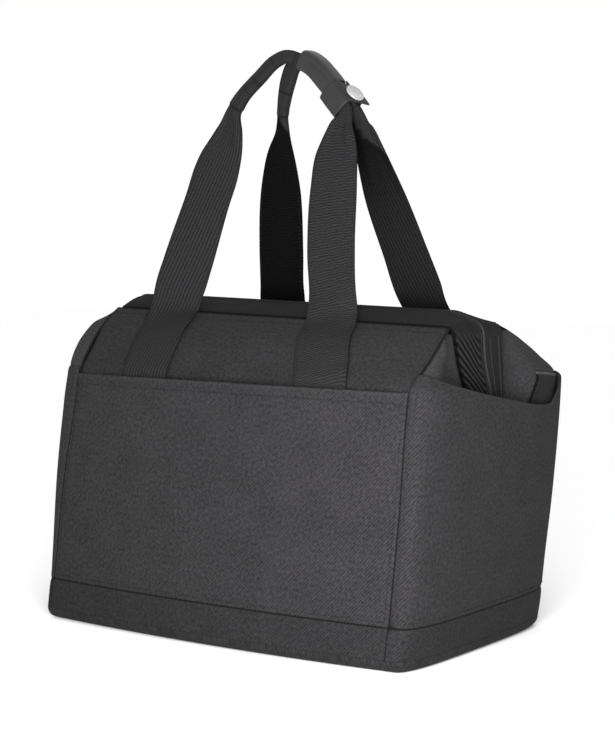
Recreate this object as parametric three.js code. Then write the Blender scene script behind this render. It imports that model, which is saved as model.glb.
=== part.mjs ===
// Soft tool bag: canvas body with pockets all round, a zipped roof-shaped top and two webbing handles.
// Millimetres. +X is to the right, +Y to the back, +Z up, and the origin is on the flat bottom.
import * as THREE from 'three';

// Cloth and clearances
const CANVAS = 2;
const HEM_THICK = 2.4;
const WEBBING = 2.6;
const SEAM_GAP = 0.4;
const LAY_GAP = 0.8;
const LAYER_GAP = 0.8;

// Heights of the seams and edges
const EDGE_ROUND = 9.6;
const FLOOR_THICK = 2.6;
const BAND_LOW = 10;
const BAND_TOP = 35;
const POCKET_LOW = BAND_TOP + SEAM_GAP;
const BODY_LOW = BAND_LOW + 2;
const MOUTH = 218;
const ROOF_TOP = 269.2;
const GUSSET_TOP = 267.6;
const GUSSET_TOP_DIP = 4;
const HEM_BED = 270.8;
const STRIP_LOW = 182;

// How the walls swell, gape and lean
const END_SQUARENESS = 3.5;
const FULL_DEPTH = 242;
const FRONT_SLACK = 11;
const END_SLACK = 6;
const HUG = { from: 0.06, span: 0.3 };
const TOP_TILT = 4;
const INSET_FADE = { low: 240, span: 22 };
const GAPE_CLOSE = 40;
const RIM_DEPTH = 9;
const RIM_HIGHEST = 208;

// The flat bed behind the hem strips: heights where it begins, and its margins low down and at the top
const BED_LOW = 70;
const BED_FULL = 165;
const BED_REACH = 1.6;
const BED_MARGINS = [
  { z: 225, margin: 17, fade: 30 },
  { z: 250, margin: 7, fade: 15 },
];

// The hem strips: where their ends run down, how sharply they bend, and how high they are domed
const STRIP_LEFT = -168;
const STRIP_RIGHT = 195;
const STRIP_BEND = 8;
const DOME_TOP = 10;
const DOME_END = 3;
const DOME_RISE = 30;
const ZIP_SHARE = 0.11;
const HEM_SHARE = 0.125;
const TOP_MIDDLE = (STRIP_LEFT + STRIP_RIGHT) / 2;
const TOP_HALF = (STRIP_RIGHT - STRIP_LEFT) / 2;

// How finely the walls are faceted, the same for every layer so that the layers nest
const FACE_STEPS = 12;
const END_STEPS = 20;
const END_CROWDING = 0.85;
const WEBBING_SIDES = 12;
const WRAP_SIDES = 16;
const WRAP_STEPS = 6;
const COLLAR_SIDES = 24;
const SNAP_SIDES = 16;

// The outer layer at a few heights. left, right: the front corner seams. front, back: the seam lines.
// bulgeLeft, bulgeRight: how far the ends swell past the seams. swell: how far front and back swell.
const OUTLINE = [
  { z: 0, left: -179, right: 185, front: -120.5, back: 122, bulgeLeft: 9, bulgeRight: 22, swell: 10 },
  { z: 36, left: -175.5, right: 187, front: -117.5, back: 123, bulgeLeft: 13, bulgeRight: 26, swell: 9 },
  { z: 120, left: -170.5, right: 191, front: -110, back: 126, bulgeLeft: 23, bulgeRight: 26, swell: 5 },
  { z: MOUTH, left: -158, right: 195, front: -102.5, back: 129, bulgeLeft: 33, bulgeRight: 23, swell: 5 },
  { z: 238, left: -162, right: 197, front: -84.5, back: 100, bulgeLeft: 33, bulgeRight: 9, swell: 5 },
  { z: 256, left: -166, right: 196, front: -62, back: 67, bulgeLeft: 25, bulgeRight: 4, swell: 3 },
  { z: 271, left: -168, right: 191, front: -39, back: 36, bulgeLeft: 6, bulgeRight: 2, swell: 0 },
];

// How much shorter each end of the back is than the front, at a few heights
const BACK_TAPER = [
  { z: 0, by: 18 },
  { z: 36, by: 18 },
  { z: 120, by: 14 },
  { z: MOUTH, by: 10 },
];

// The zip line down an end: y of the zip, and the widths of the front and back hem strips beside it
const STRIP_DOWN = [
  { z: STRIP_LOW, y: 17, frontWidth: 31, backWidth: 20 },
  { z: 209, y: 11.6, frontWidth: 31, backWidth: 25 },
  { z: 240, y: 1.6, frontWidth: 33, backWidth: 34 },
  { z: HEM_BED, y: -1.5, frontWidth: 38, backWidth: 36 },
];

// Height of a side pocket's mouth from its front seam, at 0, to its back seam, at 1
const SIDE_MOUTH = [
  { share: 0, z: 231 },
  { share: 0.2, z: 219 },
  { share: 0.5, z: 206 },
  { share: 0.84, z: 196 },
  { share: 0.93, z: 199 },
  { share: 0.98, z: 217 },
  { share: 1, z: 221 },
];

// Width of the handle legs, how far their face tips up at the hem, and their clearance on the panels
const LEG_WIDTH = 50;
const HEM_TIP = 0.7;
const LEG_GAP = 1.6;

// Where the handle legs are sewn to the panels, upwards from inside the pocket
const SEWN = {
  frontLeft: [{ z: 160, x: -81 }, { z: 214, x: -83 }, { z: 238, x: -87 }, { z: 262, x: -92 }],
  frontRight: [{ z: 160, x: 104 }, { z: 214, x: 107 }, { z: 238, x: 96 }, { z: 262, x: 83 }],
  backLeft: [{ z: 160, x: -58 }, { z: 214, x: -54 }, { z: 238, x: -47 }, { z: 262, x: -42 }],
  backRight: [{ z: 160, x: 106 }, { z: 214, x: 121 }, { z: 238, x: 121 }, { z: 262, x: 119 }],
};
const SEWN_HEIGHTS = [166, 188, 206, 214, 221, 229, 240, 251, 260];

// The free stretch of each handle from left to right: flat legs, and a rolled grip between them
const FRONT_FREE = [
  { x: -94, y: -47, z: 273.5, width: LEG_WIDTH, thick: WEBBING },
  { x: -93, y: -41.5, z: 291, width: LEG_WIDTH, thick: WEBBING },
  { x: -88, y: -37, z: 312, width: LEG_WIDTH, thick: WEBBING },
  { x: -73, y: -27, z: 367, width: 49, thick: WEBBING },
  { x: -60, y: -19.5, z: 408, width: 38, thick: 3.4 },
  { x: -52.5, y: -15, z: 437, width: 22, thick: 6.5 },
  { x: -46, y: -12.5, z: 455, width: 14, thick: 10 },
  { x: -26, y: -10, z: 475.5, width: 13.5, thick: 10.5 },
  { x: -7, y: -7.6, z: 488.6, width: 13, thick: 9.5 },
  { x: 12, y: -4.9, z: 490.4, width: 12.5, thick: 8 },
  { x: 29.5, y: -4.6, z: 481, width: 13, thick: 8 },
  { x: 42.5, y: -4.6, z: 468.5, width: 13, thick: 8 },
  { x: 54.5, y: -4.7, z: 456, width: 13, thick: 8 },
  { x: 62.5, y: -4.9, z: 446.5, width: 12, thick: 7.2 },
  { x: 65.5, y: -6.6, z: 440, width: 12, thick: 6 },
  { x: 65.5, y: -11, z: 430, width: 19, thick: 5 },
  { x: 63.5, y: -16, z: 409, width: 37, thick: 3.4 },
  { x: 63, y: -22, z: 380, width: 48, thick: WEBBING },
  { x: 68, y: -33, z: 328, width: LEG_WIDTH, thick: WEBBING },
  { x: 76, y: -42, z: 287, width: LEG_WIDTH, thick: WEBBING },
  { x: 79.5, y: -47.5, z: 271, width: LEG_WIDTH, thick: WEBBING },
];
const BACK_FREE = [
  { x: -40, y: 45, z: 272.5, width: LEG_WIDTH, thick: WEBBING },
  { x: -38.5, y: 39, z: 292, width: LEG_WIDTH, thick: WEBBING },
  { x: -35, y: 32, z: 325, width: LEG_WIDTH, thick: WEBBING },
  { x: -28, y: 22, z: 380, width: 47, thick: WEBBING },
  { x: -24.5, y: 16.5, z: 408, width: 35, thick: 3.4 },
  { x: -20, y: 13, z: 432, width: 17, thick: 6.5 },
  { x: -14, y: 10, z: 457, width: 13.5, thick: 9.5 },
  { x: -4.5, y: 7, z: 480, width: 13, thick: 9 },
  { x: 11, y: 5, z: 490, width: 12.5, thick: 8 },
  { x: 29.5, y: 4.6, z: 481, width: 13, thick: 8 },
  { x: 42.5, y: 4.6, z: 468.5, width: 13, thick: 8 },
  { x: 55, y: 4.7, z: 456, width: 13, thick: 8 },
  { x: 63, y: 4.9, z: 446.5, width: 12, thick: 7.2 },
  { x: 66.5, y: 6.6, z: 440.5, width: 12, thick: 6 },
  { x: 68.5, y: 11, z: 431, width: 18, thick: 5 },
  { x: 71.5, y: 16.5, z: 413, width: 28, thick: 3.4 },
  { x: 82, y: 25, z: 373, width: 40, thick: WEBBING },
  { x: 98, y: 33.5, z: 328, width: 48, thick: WEBBING },
  { x: 114, y: 40, z: 287, width: LEG_WIDTH, thick: WEBBING },
  { x: 117, y: 45.5, z: 269.5, width: LEG_WIDTH, thick: WEBBING },
];

// The wrap round both grips: its middle line, then its inner half sizes and its wall
const WRAP_PATH = [
  { x: 16.5, z: 489 },
  { x: 22.5, z: 486 },
  { x: 29.5, z: 481 },
  { x: 37, z: 474 },
  { x: 48.4, z: 462 },
];
const WRAP_HALF_DEPTH = 9.6;
const WRAP_HALF_HEIGHT = 8;
const WRAP_WALL = 1.4;

// The tab that closes the wrap's lower end, and its snap
const TAB_START = { x: 48.8, z: 461.4 };
const TAB_END = { x: 64.2, z: 444.4 };
const TAB_HALF_DEPTH = 10.6;
const TAB_HALF_HEIGHT = 8.8;
const TAB_WALL = 1.8;
const TONGUE_FROM = { outward: 10.4, front: 8 };
const TONGUE_LENGTH = 19;
const TONGUE_THICK = 2.6;
const TONGUE_TURN = 0.43 * Math.PI;
const SNAP_RADIUS = 8.6;
const SNAP_HEIGHT = 3.2;
const SNAP_RIM = 0.4;
const SNAP_PLACE = { along: 8, down: 13.6 };

// The patch at the back corner of the right side pocket, and the zip slider
const PATCH = { shareLow: 0.8, shareHigh: 0.95, zLow: 176, zHigh: 219, thick: 1.4 };
const SLIDER_Z = 236;
const SLIDER = { width: 11, height: 15, shoulder: 10, chamfer: 3, thick: 3 };
const PULL = { width: 8, neck: 4, length: 30 };

// Finishes
const CANVAS_COLOUR = 0x35353a;
const ROOF_COLOUR = 0x323237;
const HEM_COLOUR = 0x29292d;
const WEBBING_COLOUR = 0x2d2d31;
const WRAP_COLOUR = 0x3b3b40;
const ZIP_COLOUR = 0x1d1d20;
const METAL_COLOUR = 0xe6e6e6;

const mix = (a, b, t) => a + (b - a) * t;
const clamp01 = (t) => Math.min(1, Math.max(0, t));
const smooth = (t) => clamp01(t) ** 2 * (3 - 2 * clamp01(t));
const steps = (count, from = 0, to = 1) => (
  Array.from({ length: count + 1 }, (_, i) => mix(from, to, i / count))
);

// One column of a table at a place along it, on a curve through the rows that never overshoots them
function column(rows, key, at, by = 'z') {
  const slope = (i) => (rows[i + 1][key] - rows[i][key]) / (rows[i + 1][by] - rows[i][by]);
  const last = rows.length - 1;
  const tangent = (i) => {
    if (i === 0) return slope(0);
    if (i === last) return slope(last - 1);
    const product = slope(i - 1) * slope(i);
    return product <= 0 ? 0 : (2 * product) / (slope(i - 1) + slope(i));
  };
  let row = 0;
  while (row < last - 1 && at > rows[row + 1][by]) row += 1;
  const span = rows[row + 1][by] - rows[row][by];
  const t = clamp01((at - rows[row][by]) / span);
  const startValue = rows[row][key] * (1 + 2 * t) * (1 - t) ** 2;
  const endValue = rows[row + 1][key] * (3 - 2 * t) * t ** 2;
  const startSlope = tangent(row) * span * t * (1 - t) ** 2;
  const endSlope = tangent(row + 1) * span * (t - 1) * t ** 2;
  return startValue + endValue + startSlope + endSlope;
}

function outline(z) {
  const keys = ['left', 'right', 'front', 'back', 'bulgeLeft', 'bulgeRight', 'swell'];
  return Object.fromEntries(keys.map((key) => [key, column(OUTLINE, key, z)]));
}

// The top has settled: everything above the pocket mouth is higher on the left than on the right
function settle([x, y, z]) {
  const share = smooth((z - MOUTH) / (ROOF_TOP - MOUTH));
  return [x, y, z + (TOP_TILT * share * (TOP_MIDDLE - x)) / TOP_HALF];
}

// How far the body lies inside the outer layer, and how far a pocket has opened, at a height
const bodyInset = (z) => (CANVAS + LAYER_GAP) * (1 - smooth((z - INSET_FADE.low) / INSET_FADE.span));
const gape = (z) => smooth((z - BAND_TOP) / (MOUTH - BAND_TOP)) * (1 - smooth((z - MOUTH) / GAPE_CLOSE));

// A point of the front or back face. u runs from -1 at the left seam to 1 at the right seam.
function facePoint(face, u, z, inset) {
  const o = outline(z);
  const taper = face > 0 ? (column(BACK_TAPER, 'by', z) * (o.back - o.front)) / FULL_DEPTH : 0;
  const x = mix(o.left + taper + SEAM_GAP, o.right - taper - SEAM_GAP, (u + 1) / 2);
  const seam = face > 0 ? o.back : o.front;
  return [x, seam + face * (o.swell * (1 - u * u) - inset), z];
}

// Places round an end, as shares of the way from the front seam to the back seam, closer at the corners
const END_SHARES = steps(END_STEPS).map((q) => (
  q - (END_CROWDING * Math.sin(2 * Math.PI * q)) / (2 * Math.PI)
));

// How far out an end stands at such a share: 0 at the seams, 1 along the middle
const reach = (share) => (1 - Math.abs(1 - 2 * share) ** END_SQUARENESS) ** (1 / END_SQUARENESS);

// A point of an end of the outer layer: a rounded outline from the front seam to the back seam
function endPoint(side, share, z, inset, slack = 0) {
  const o = outline(z);
  const seam = side > 0 ? o.right : o.left;
  const bulge = side > 0 ? o.bulgeRight : o.bulgeLeft;
  const taper = (column(BACK_TAPER, 'by', z) * share * (o.back - o.front)) / FULL_DEPTH;
  const x = seam - side * taper + side * (bulge - inset - slack) * reach(share);
  return [x, mix(o.front + inset, o.back - inset, share), z];
}

function panelPoint(face, u, z, depth) {
  const slack = FRONT_SLACK * gape(z) * (1 - u * u);
  return settle(facePoint(face, u, z, bodyInset(z) + slack + depth));
}

// The bed of the hem strips on an end wall: flat and upright, then following the bend over the top
function bedX(side, z, depth) {
  const below = HEM_THICK + LAY_GAP + depth;
  const radius = STRIP_BEND - below;
  const rise = Math.max(0, z - (HEM_BED - STRIP_BEND));
  const inward = STRIP_BEND - Math.sqrt(Math.max(1, radius ** 2 - Math.min(rise, radius) ** 2));
  const edge = side > 0 ? STRIP_RIGHT : STRIP_LEFT;
  return edge - side * (rise > 0 && radius > 1 ? inward : below);
}

// A point of an end wall: the end's outline, pressed in to a flat bed behind the hem strips
function gussetPoint(side, share, z, depth) {
  const slack = END_SLACK * gape(z) * smooth((share - HUG.from) / HUG.span);
  const [x, y] = endPoint(side, share, z, bodyInset(z) + depth, slack);
  const dy = y - column(STRIP_DOWN, 'y', z);
  const width = column(STRIP_DOWN, dy < 0 ? 'frontWidth' : 'backWidth', z);
  const margin = width + column(BED_MARGINS, 'margin', z);
  const beside = smooth((Math.abs(dy) - margin) / column(BED_MARGINS, 'fade', z));
  const begun = smooth((z - BED_LOW) / (BED_FULL - BED_LOW));
  const pressed = begun * (1 - beside) * smooth(BED_REACH * reach(share));
  return settle([mix(x, bedX(side, z, depth), pressed), y, z]);
}

// A closed body between two sheets of points with the same rows. A ring's rows close on themselves.
function wall(outer, inner, ring = false) {
  const rows = outer.length;
  const cols = outer[0].length;
  const at = (sheet, i, j) => (sheet * rows + (i % rows)) * cols + j;
  const index = [];
  const quad = (a, b, c, d) => index.push(a, b, c, a, c, d);
  const rowSpans = ring ? rows : rows - 1;
  for (let i = 0; i < rowSpans; i += 1) {
    for (let j = 0; j < cols - 1; j += 1) {
      quad(at(0, i, j), at(0, i + 1, j), at(0, i + 1, j + 1), at(0, i, j + 1));
      quad(at(1, i, j), at(1, i, j + 1), at(1, i + 1, j + 1), at(1, i + 1, j));
    }
    quad(at(0, i, 0), at(1, i, 0), at(1, i + 1, 0), at(0, i + 1, 0));
    quad(at(0, i, cols - 1), at(0, i + 1, cols - 1), at(1, i + 1, cols - 1), at(1, i, cols - 1));
  }
  for (let j = 0; j < cols - 1 && !ring; j += 1) {
    quad(at(0, 0, j), at(0, 0, j + 1), at(1, 0, j + 1), at(1, 0, j));
    quad(at(0, rows - 1, j), at(1, rows - 1, j), at(1, rows - 1, j + 1), at(0, rows - 1, j + 1));
  }
  return closedMesh([...outer, ...inner].flat(), index);
}

// A closed skin over a stack of rings of points, with a fan of triangles over its first and last ring
function skin(rings) {
  const count = rings[0].length;
  const middle = (ring) => ring.reduce((sum, p) => sum.map((v, k) => v + p[k] / count), [0, 0, 0]);
  const points = [...rings.flat(), middle(rings[0]), middle(rings[rings.length - 1])];
  const first = rings.length * count;
  const lastRow = (rings.length - 1) * count;
  const index = [];
  for (let j = 0; j < count; j += 1) {
    const next = (j + 1) % count;
    for (let row = 0; row < lastRow; row += count) {
      index.push(row + j, row + next, row + count + next);
      index.push(row + j, row + count + next, row + count + j);
    }
    index.push(first, next, j);
    index.push(first + 1, lastRow + j, lastRow + next);
  }
  return closedMesh(points, index);
}

// Geometry of a closed body, with its faces turned outwards
function closedMesh(points, index) {
  let volume = 0;
  for (let k = 0; k < index.length; k += 3) {
    const [a, b, c] = index.slice(k, k + 3).map((i) => new THREE.Vector3(...points[i]));
    volume += a.dot(b.cross(c));
  }
  const facingOut = volume > 0 ? index : index.toReversed();
  const geometry = new THREE.BufferGeometry();
  geometry.setAttribute('position', new THREE.Float32BufferAttribute(points.flat(), 3));
  geometry.setIndex(facingOut);
  geometry.computeVertexNormals();
  return geometry;
}

// The closed outline of the whole bag at a height, going round from the front left seam
function loop(z, inset) {
  const across = steps(FACE_STEPS, -1, 1);
  const shares = END_SHARES.slice(1, -1);
  return [
    ...across.map((u) => facePoint(-1, u, z, inset)),
    ...shares.map((share) => endPoint(1, share, z, inset)),
    ...across.toReversed().map((u) => facePoint(1, u, z, inset)),
    ...shares.toReversed().map((share) => endPoint(-1, share, z, inset)),
  ];
}

// The bottom: a tray with a rounded edge
function basePanel() {
  const bend = steps(3, 0, Math.PI / 2);
  const ringAt = (angle, radius) => {
    const inset = EDGE_ROUND - radius * Math.sin(angle);
    return loop(EDGE_ROUND, inset).map(([x, y]) => [x, y, EDGE_ROUND - radius * Math.cos(angle)]);
  };
  const outside = bend.map((angle) => ringAt(angle, EDGE_ROUND));
  const inside = bend.map((angle) => ringAt(angle, EDGE_ROUND - FLOOR_THICK)).reverse();
  return skin([...outside, ...inside]);
}

function baseBand() {
  const heights = [BAND_LOW, BAND_TOP];
  const sheet = (inset) => {
    const rings = heights.map((z) => loop(z, inset));
    return rings[0].map((_, i) => rings.map((ring) => ring[i]));
  };
  return wall(sheet(0), sheet(CANVAS), true);
}

function facePocket(face) {
  const heights = [...steps(4, POCKET_LOW, RIM_HIGHEST), MOUTH - 1];
  const across = steps(FACE_STEPS, -1, 1);
  const sheet = (inset) => across.map((u) => heights.map((z) => facePoint(face, u, z, inset)));
  return wall(sheet(0), sheet(CANVAS));
}

function sidePocket(side) {
  const sheet = (inset) => END_SHARES.map((share) => {
    const mouth = column(SIDE_MOUTH, 'z', share, 'share');
    const rim = Math.min(mouth - RIM_DEPTH, RIM_HIGHEST);
    const heights = [...steps(4, POCKET_LOW, rim), ...steps(4, rim, mouth).slice(1)];
    return heights.map((z) => endPoint(side, share, z, inset));
  });
  return wall(sheet(0), sheet(CANVAS));
}

// Heights of the body's rows, closer where it bends into the roof
const BODY_HEIGHTS = [BODY_LOW, 54, 96, 138, 166, 188, 206, 214, 221, 229, 240, 251];
const ROOF_ROWS = [261, ROOF_TOP];
const GUSSET_ROW = 258;

function bodyPanel(face) {
  const heights = [...BODY_HEIGHTS, ...ROOF_ROWS];
  const across = steps(FACE_STEPS, -1, 1);
  const sheet = (depth) => across.map((u) => heights.map((z) => panelPoint(face, u, z, depth)));
  return wall(sheet(0), sheet(CANVAS));
}

function gusset(side) {
  const sheet = (depth) => END_SHARES.map((share) => {
    const top = GUSSET_TOP - GUSSET_TOP_DIP * reach(share);
    const heights = [...BODY_HEIGHTS, GUSSET_ROW, top];
    return heights.map((z) => gussetPoint(side, share, z, depth));
  });
  return wall(sheet(0), sheet(CANVAS));
}

// The line that the hem strips follow: up one end, over the top and down the other end
function stripLine() {
  const bendLow = HEM_BED - STRIP_BEND;
  const end = (side) => {
    const edge = side > 0 ? STRIP_RIGHT : STRIP_LEFT;
    const upright = steps(5, STRIP_LOW, bendLow).map((z) => ({ x: edge, z, nx: side, nz: 0 }));
    const bend = steps(4, 0, Math.PI / 2).slice(1, -1).map((angle) => ({
      x: edge - side * STRIP_BEND * (1 - Math.cos(angle)),
      z: bendLow + STRIP_BEND * Math.sin(angle),
      nx: side * Math.cos(angle),
      nz: Math.sin(angle),
    }));
    return [...upright, ...bend];
  };
  const top = steps(10, STRIP_LEFT + STRIP_BEND, STRIP_RIGHT - STRIP_BEND);
  const over = top.map((x) => ({ x, z: HEM_BED, nx: 0, nz: 1 }));
  return [...end(-1), ...over, ...end(1).reverse()];
}

// A strip of cloth along that line between two places across it, from -1 at the front to 1 at the back
function strip(from, to, across) {
  const sheet = (depth) => stripLine().map((place) => {
    const y = column(STRIP_DOWN, 'y', place.z);
    const inward = Math.min(Math.abs(place.x - STRIP_LEFT), Math.abs(place.x - STRIP_RIGHT));
    const dome = mix(DOME_END, DOME_TOP, smooth(inward / DOME_RISE));
    return steps(across, from, to).map((w) => {
      const width = column(STRIP_DOWN, w < 0 ? 'frontWidth' : 'backWidth', place.z);
      const lift = dome * (1 - w * w) - depth;
      return settle([place.x + place.nx * lift, y + w * width, place.z + place.nz * lift]);
    });
  });
  return wall(sheet(0), sheet(HEM_THICK));
}

// A rounded outline, as [across, through] pairs, that is flat when thick is much less than width
function bandSection(width, thick, sides) {
  const power = 0.5;
  return steps(sides).slice(0, -1).map((t) => {
    const cosine = Math.cos(2 * Math.PI * t);
    const sine = Math.sin(2 * Math.PI * t);
    const across = Math.sign(cosine) * Math.abs(cosine) ** power;
    const through = Math.sign(sine) * Math.abs(sine) ** power;
    return [(across * width) / 2, (through * thick) / 2];
  });
}

// Rings of a section carried along a line, with the section's thin way turned to each row's normal
function carry(line, sectionAt, count) {
  const points = line.map((row) => new THREE.Vector3(row.x, row.y, row.z));
  const curve = new THREE.CatmullRomCurve3(points, false, 'centripetal');
  return steps(count).map((t) => {
    const row = Math.round(t * (line.length - 1));
    const along = curve.getTangent(t);
    const thinWay = line[row].normal.clone();
    thinWay.addScaledVector(along, -thinWay.dot(along)).normalize();
    const wideWay = new THREE.Vector3().crossVectors(along, thinWay);
    const middle = curve.getPoint(t);
    return sectionAt(row).map(([across, through]) => middle.clone()
      .addScaledVector(wideWay, across)
      .addScaledVector(thinWay, through)
      .toArray());
  });
}

// Points of a leg sewn flat to a panel, held off it by its clearance and half the webbing
function sewnLeg(face, rows) {
  const onPanel = (z) => {
    const x = column(rows, 'x', z);
    const [left] = panelPoint(face, -1, z, 0);
    const [right] = panelPoint(face, 1, z, 0);
    return panelPoint(face, (2 * (x - left)) / (right - left) - 1, z, 0);
  };
  const lift = LEG_GAP + WEBBING / 2;
  return SEWN_HEIGHTS.map((level) => {
    const [x, y, z] = onPanel(level);
    const [, yAbove, zAbove] = onPanel(level + 1);
    const normal = new THREE.Vector3(0, zAbove - z, y - yAbove).normalize().multiplyScalar(face);
    return { x, y: y + normal.y * lift, z: z + normal.z * lift, width: LEG_WIDTH, thick: WEBBING, normal };
  });
}

function handle(face, leftRows, freeRows, rightRows) {
  const free = freeRows.map((row, i) => {
    const tip = i === 0 || i === freeRows.length - 1 ? HEM_TIP : 0;
    return { ...row, normal: new THREE.Vector3(0, face, tip) };
  });
  const line = [...sewnLeg(face, leftRows), ...free, ...sewnLeg(face, rightRows).reverse()];
  const sectionAt = (row) => bandSection(line[row].width, line[row].thick, WEBBING_SIDES);
  return skin(carry(line, sectionAt, line.length - 1));
}

function handleWrap() {
  const line = WRAP_PATH.map(({ x, z }) => ({ x, y: 0, z, normal: new THREE.Vector3(0, -1, 0) }));
  const rings = (grow) => {
    const section = bandSection(2 * (WRAP_HALF_HEIGHT + grow), 2 * (WRAP_HALF_DEPTH + grow), WRAP_SIDES);
    return carry(line, () => section, WRAP_STEPS);
  };
  const sheet = (grow) => rings(grow)[0].map((_, j) => rings(grow).map((ring) => ring[j]));
  return wall(sheet(WRAP_WALL), sheet(0), true);
}

// The tab's own frame: X is up and out from the grip, Y is to the front, Z runs down the grip
function tabFrame() {
  const down = new THREE.Vector3(TAB_END.x - TAB_START.x, 0, TAB_END.z - TAB_START.z);
  const length = down.length();
  down.normalize();
  const front = new THREE.Vector3(0, -1, 0);
  const outward = new THREE.Vector3().crossVectors(front, down);
  const matrix = new THREE.Matrix4().makeBasis(outward, front, down);
  matrix.setPosition(TAB_START.x, 0, TAB_START.z);
  return { matrix, length };
}

// The tongue's outer face in the tab's frame: where it starts, its direction and its outward normal
const TONGUE_START = new THREE.Vector2(TONGUE_FROM.outward, TONGUE_FROM.front);
const TONGUE_ALONG = new THREE.Vector2(Math.cos(TONGUE_TURN), -Math.sin(TONGUE_TURN));
const TONGUE_NORMAL = new THREE.Vector2(Math.sin(TONGUE_TURN), Math.cos(TONGUE_TURN));

// A collar round both grips, with a flat tongue that lies over its outer side and stands off at its tip
function snapTab() {
  const { matrix, length } = tabFrame();
  const ring = (grow) => {
    const section = bandSection(2 * (TAB_HALF_HEIGHT + grow), 2 * (TAB_HALF_DEPTH + grow), COLLAR_SIDES);
    return section.map(([x, y]) => new THREE.Vector2(x, y));
  };
  const tip = TONGUE_START.clone().addScaledVector(TONGUE_ALONG, TONGUE_LENGTH);
  const under = tip.clone().addScaledVector(TONGUE_NORMAL, -TONGUE_THICK);
  const shoulder = COLLAR_SIDES / 8;
  const clearOfTongue = ring(TAB_WALL).slice(shoulder, COLLAR_SIDES - shoulder + 1);
  const shape = new THREE.Shape([...clearOfTongue, under, tip, TONGUE_START]);
  shape.holes.push(new THREE.Path(ring(0)));
  const geometry = new THREE.ExtrudeGeometry(shape, { depth: length, bevelEnabled: false });
  return geometry.applyMatrix4(matrix);
}

// A low domed cap on the tongue
function snapCap() {
  const { matrix } = tabFrame();
  const dome = steps(3, 0, Math.PI / 2).map((angle) => new THREE.Vector2(
    SNAP_RADIUS * Math.cos(angle),
    SNAP_HEIGHT * mix(SNAP_RIM, 1, Math.sin(angle)),
  ));
  dome[dome.length - 1].x = 0;
  const profile = [new THREE.Vector2(0, 0), new THREE.Vector2(SNAP_RADIUS, 0), ...dome];
  const seat = TONGUE_START.clone()
    .addScaledVector(TONGUE_ALONG, SNAP_PLACE.along)
    .addScaledVector(TONGUE_NORMAL, SEAM_GAP);
  const axis = new THREE.Vector3(TONGUE_NORMAL.x, TONGUE_NORMAL.y, 0);
  const turn = new THREE.Quaternion().setFromUnitVectors(new THREE.Vector3(0, 1, 0), axis);
  const place = new THREE.Matrix4().makeRotationFromQuaternion(turn);
  place.setPosition(seat.x, seat.y, SNAP_PLACE.down);
  return new THREE.LatheGeometry(profile, SNAP_SIDES).applyMatrix4(place).applyMatrix4(matrix);
}

// A canvas patch that lies on the right end wall, at the back corner of the pocket's mouth
function cornerPatch() {
  const shares = steps(6, PATCH.shareLow, PATCH.shareHigh);
  const heights = steps(4, PATCH.zLow, PATCH.zHigh);
  const sheet = (depth) => shares.map((share) => heights.map((z) => gussetPoint(1, share, z, depth)));
  return wall(sheet(-LAY_GAP - PATCH.thick), sheet(-LAY_GAP));
}

// The zip slider with its pull hanging down, flat on the zip at the left end
function zipSlider() {
  const half = SLIDER.width / 2;
  const pullHalf = PULL.width / 2;
  const shape = new THREE.Shape();
  shape.moveTo(-half, 0);
  shape.lineTo(-pullHalf, -PULL.neck);
  shape.lineTo(-pullHalf, -PULL.length);
  shape.absarc(0, -PULL.length, pullHalf, Math.PI, 2 * Math.PI, false);
  shape.lineTo(pullHalf, -PULL.neck);
  shape.lineTo(half, 0);
  shape.lineTo(half, SLIDER.shoulder);
  shape.lineTo(half - SLIDER.chamfer, SLIDER.height);
  shape.lineTo(SLIDER.chamfer - half, SLIDER.height);
  shape.lineTo(-half, SLIDER.shoulder);
  const plate = { depth: SLIDER.thick, bevelEnabled: false, curveSegments: 4 };
  const basis = new THREE.Matrix4().makeBasis(
    new THREE.Vector3(0, -1, 0),
    new THREE.Vector3(0, 0, 1),
    new THREE.Vector3(-1, 0, 0),
  );
  basis.setPosition(STRIP_LEFT - DOME_END - LAY_GAP, column(STRIP_DOWN, 'y', SLIDER_Z), SLIDER_Z);
  return new THREE.ExtrudeGeometry(shape, plate).applyMatrix4(basis);
}

const bag = new THREE.Group();

function add(name, geometry, color, roughness = 0.9, metalness = 0) {
  const mesh = new THREE.Mesh(geometry, new THREE.MeshStandardMaterial({ color, roughness, metalness }));
  mesh.name = name;
  bag.add(mesh);
}

add('base_panel', basePanel(), CANVAS_COLOUR);
add('base_band', baseBand(), CANVAS_COLOUR);
add('front_pocket', facePocket(-1), CANVAS_COLOUR);
add('back_pocket', facePocket(1), CANVAS_COLOUR);
add('side_pocket_left', sidePocket(-1), CANVAS_COLOUR);
add('side_pocket_right', sidePocket(1), CANVAS_COLOUR);
add('front_panel', bodyPanel(-1), ROOF_COLOUR);
add('back_panel', bodyPanel(1), ROOF_COLOUR);
add('gusset_left', gusset(-1), ROOF_COLOUR);
add('gusset_right', gusset(1), ROOF_COLOUR);
add('hem_front', strip(-1, -HEM_SHARE, 4), HEM_COLOUR);
add('hem_back', strip(HEM_SHARE, 1, 4), HEM_COLOUR);
add('zip_chain', strip(-ZIP_SHARE, ZIP_SHARE, 1), ZIP_COLOUR, 0.6);
add('zip_slider', zipSlider(), ZIP_COLOUR, 0.4, 0.8);
add('handle_front', handle(-1, SEWN.frontLeft, FRONT_FREE, SEWN.frontRight), WEBBING_COLOUR);
add('handle_back', handle(1, SEWN.backLeft, BACK_FREE, SEWN.backRight), WEBBING_COLOUR);
add('handle_wrap', handleWrap(), WRAP_COLOUR, 0.7);
add('snap_tab', snapTab(), WRAP_COLOUR, 0.7);
add('snap_cap', snapCap(), METAL_COLOUR, 0.3, 1);
add('corner_patch', cornerPatch(), ROOF_COLOUR);

export default bag;
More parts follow.
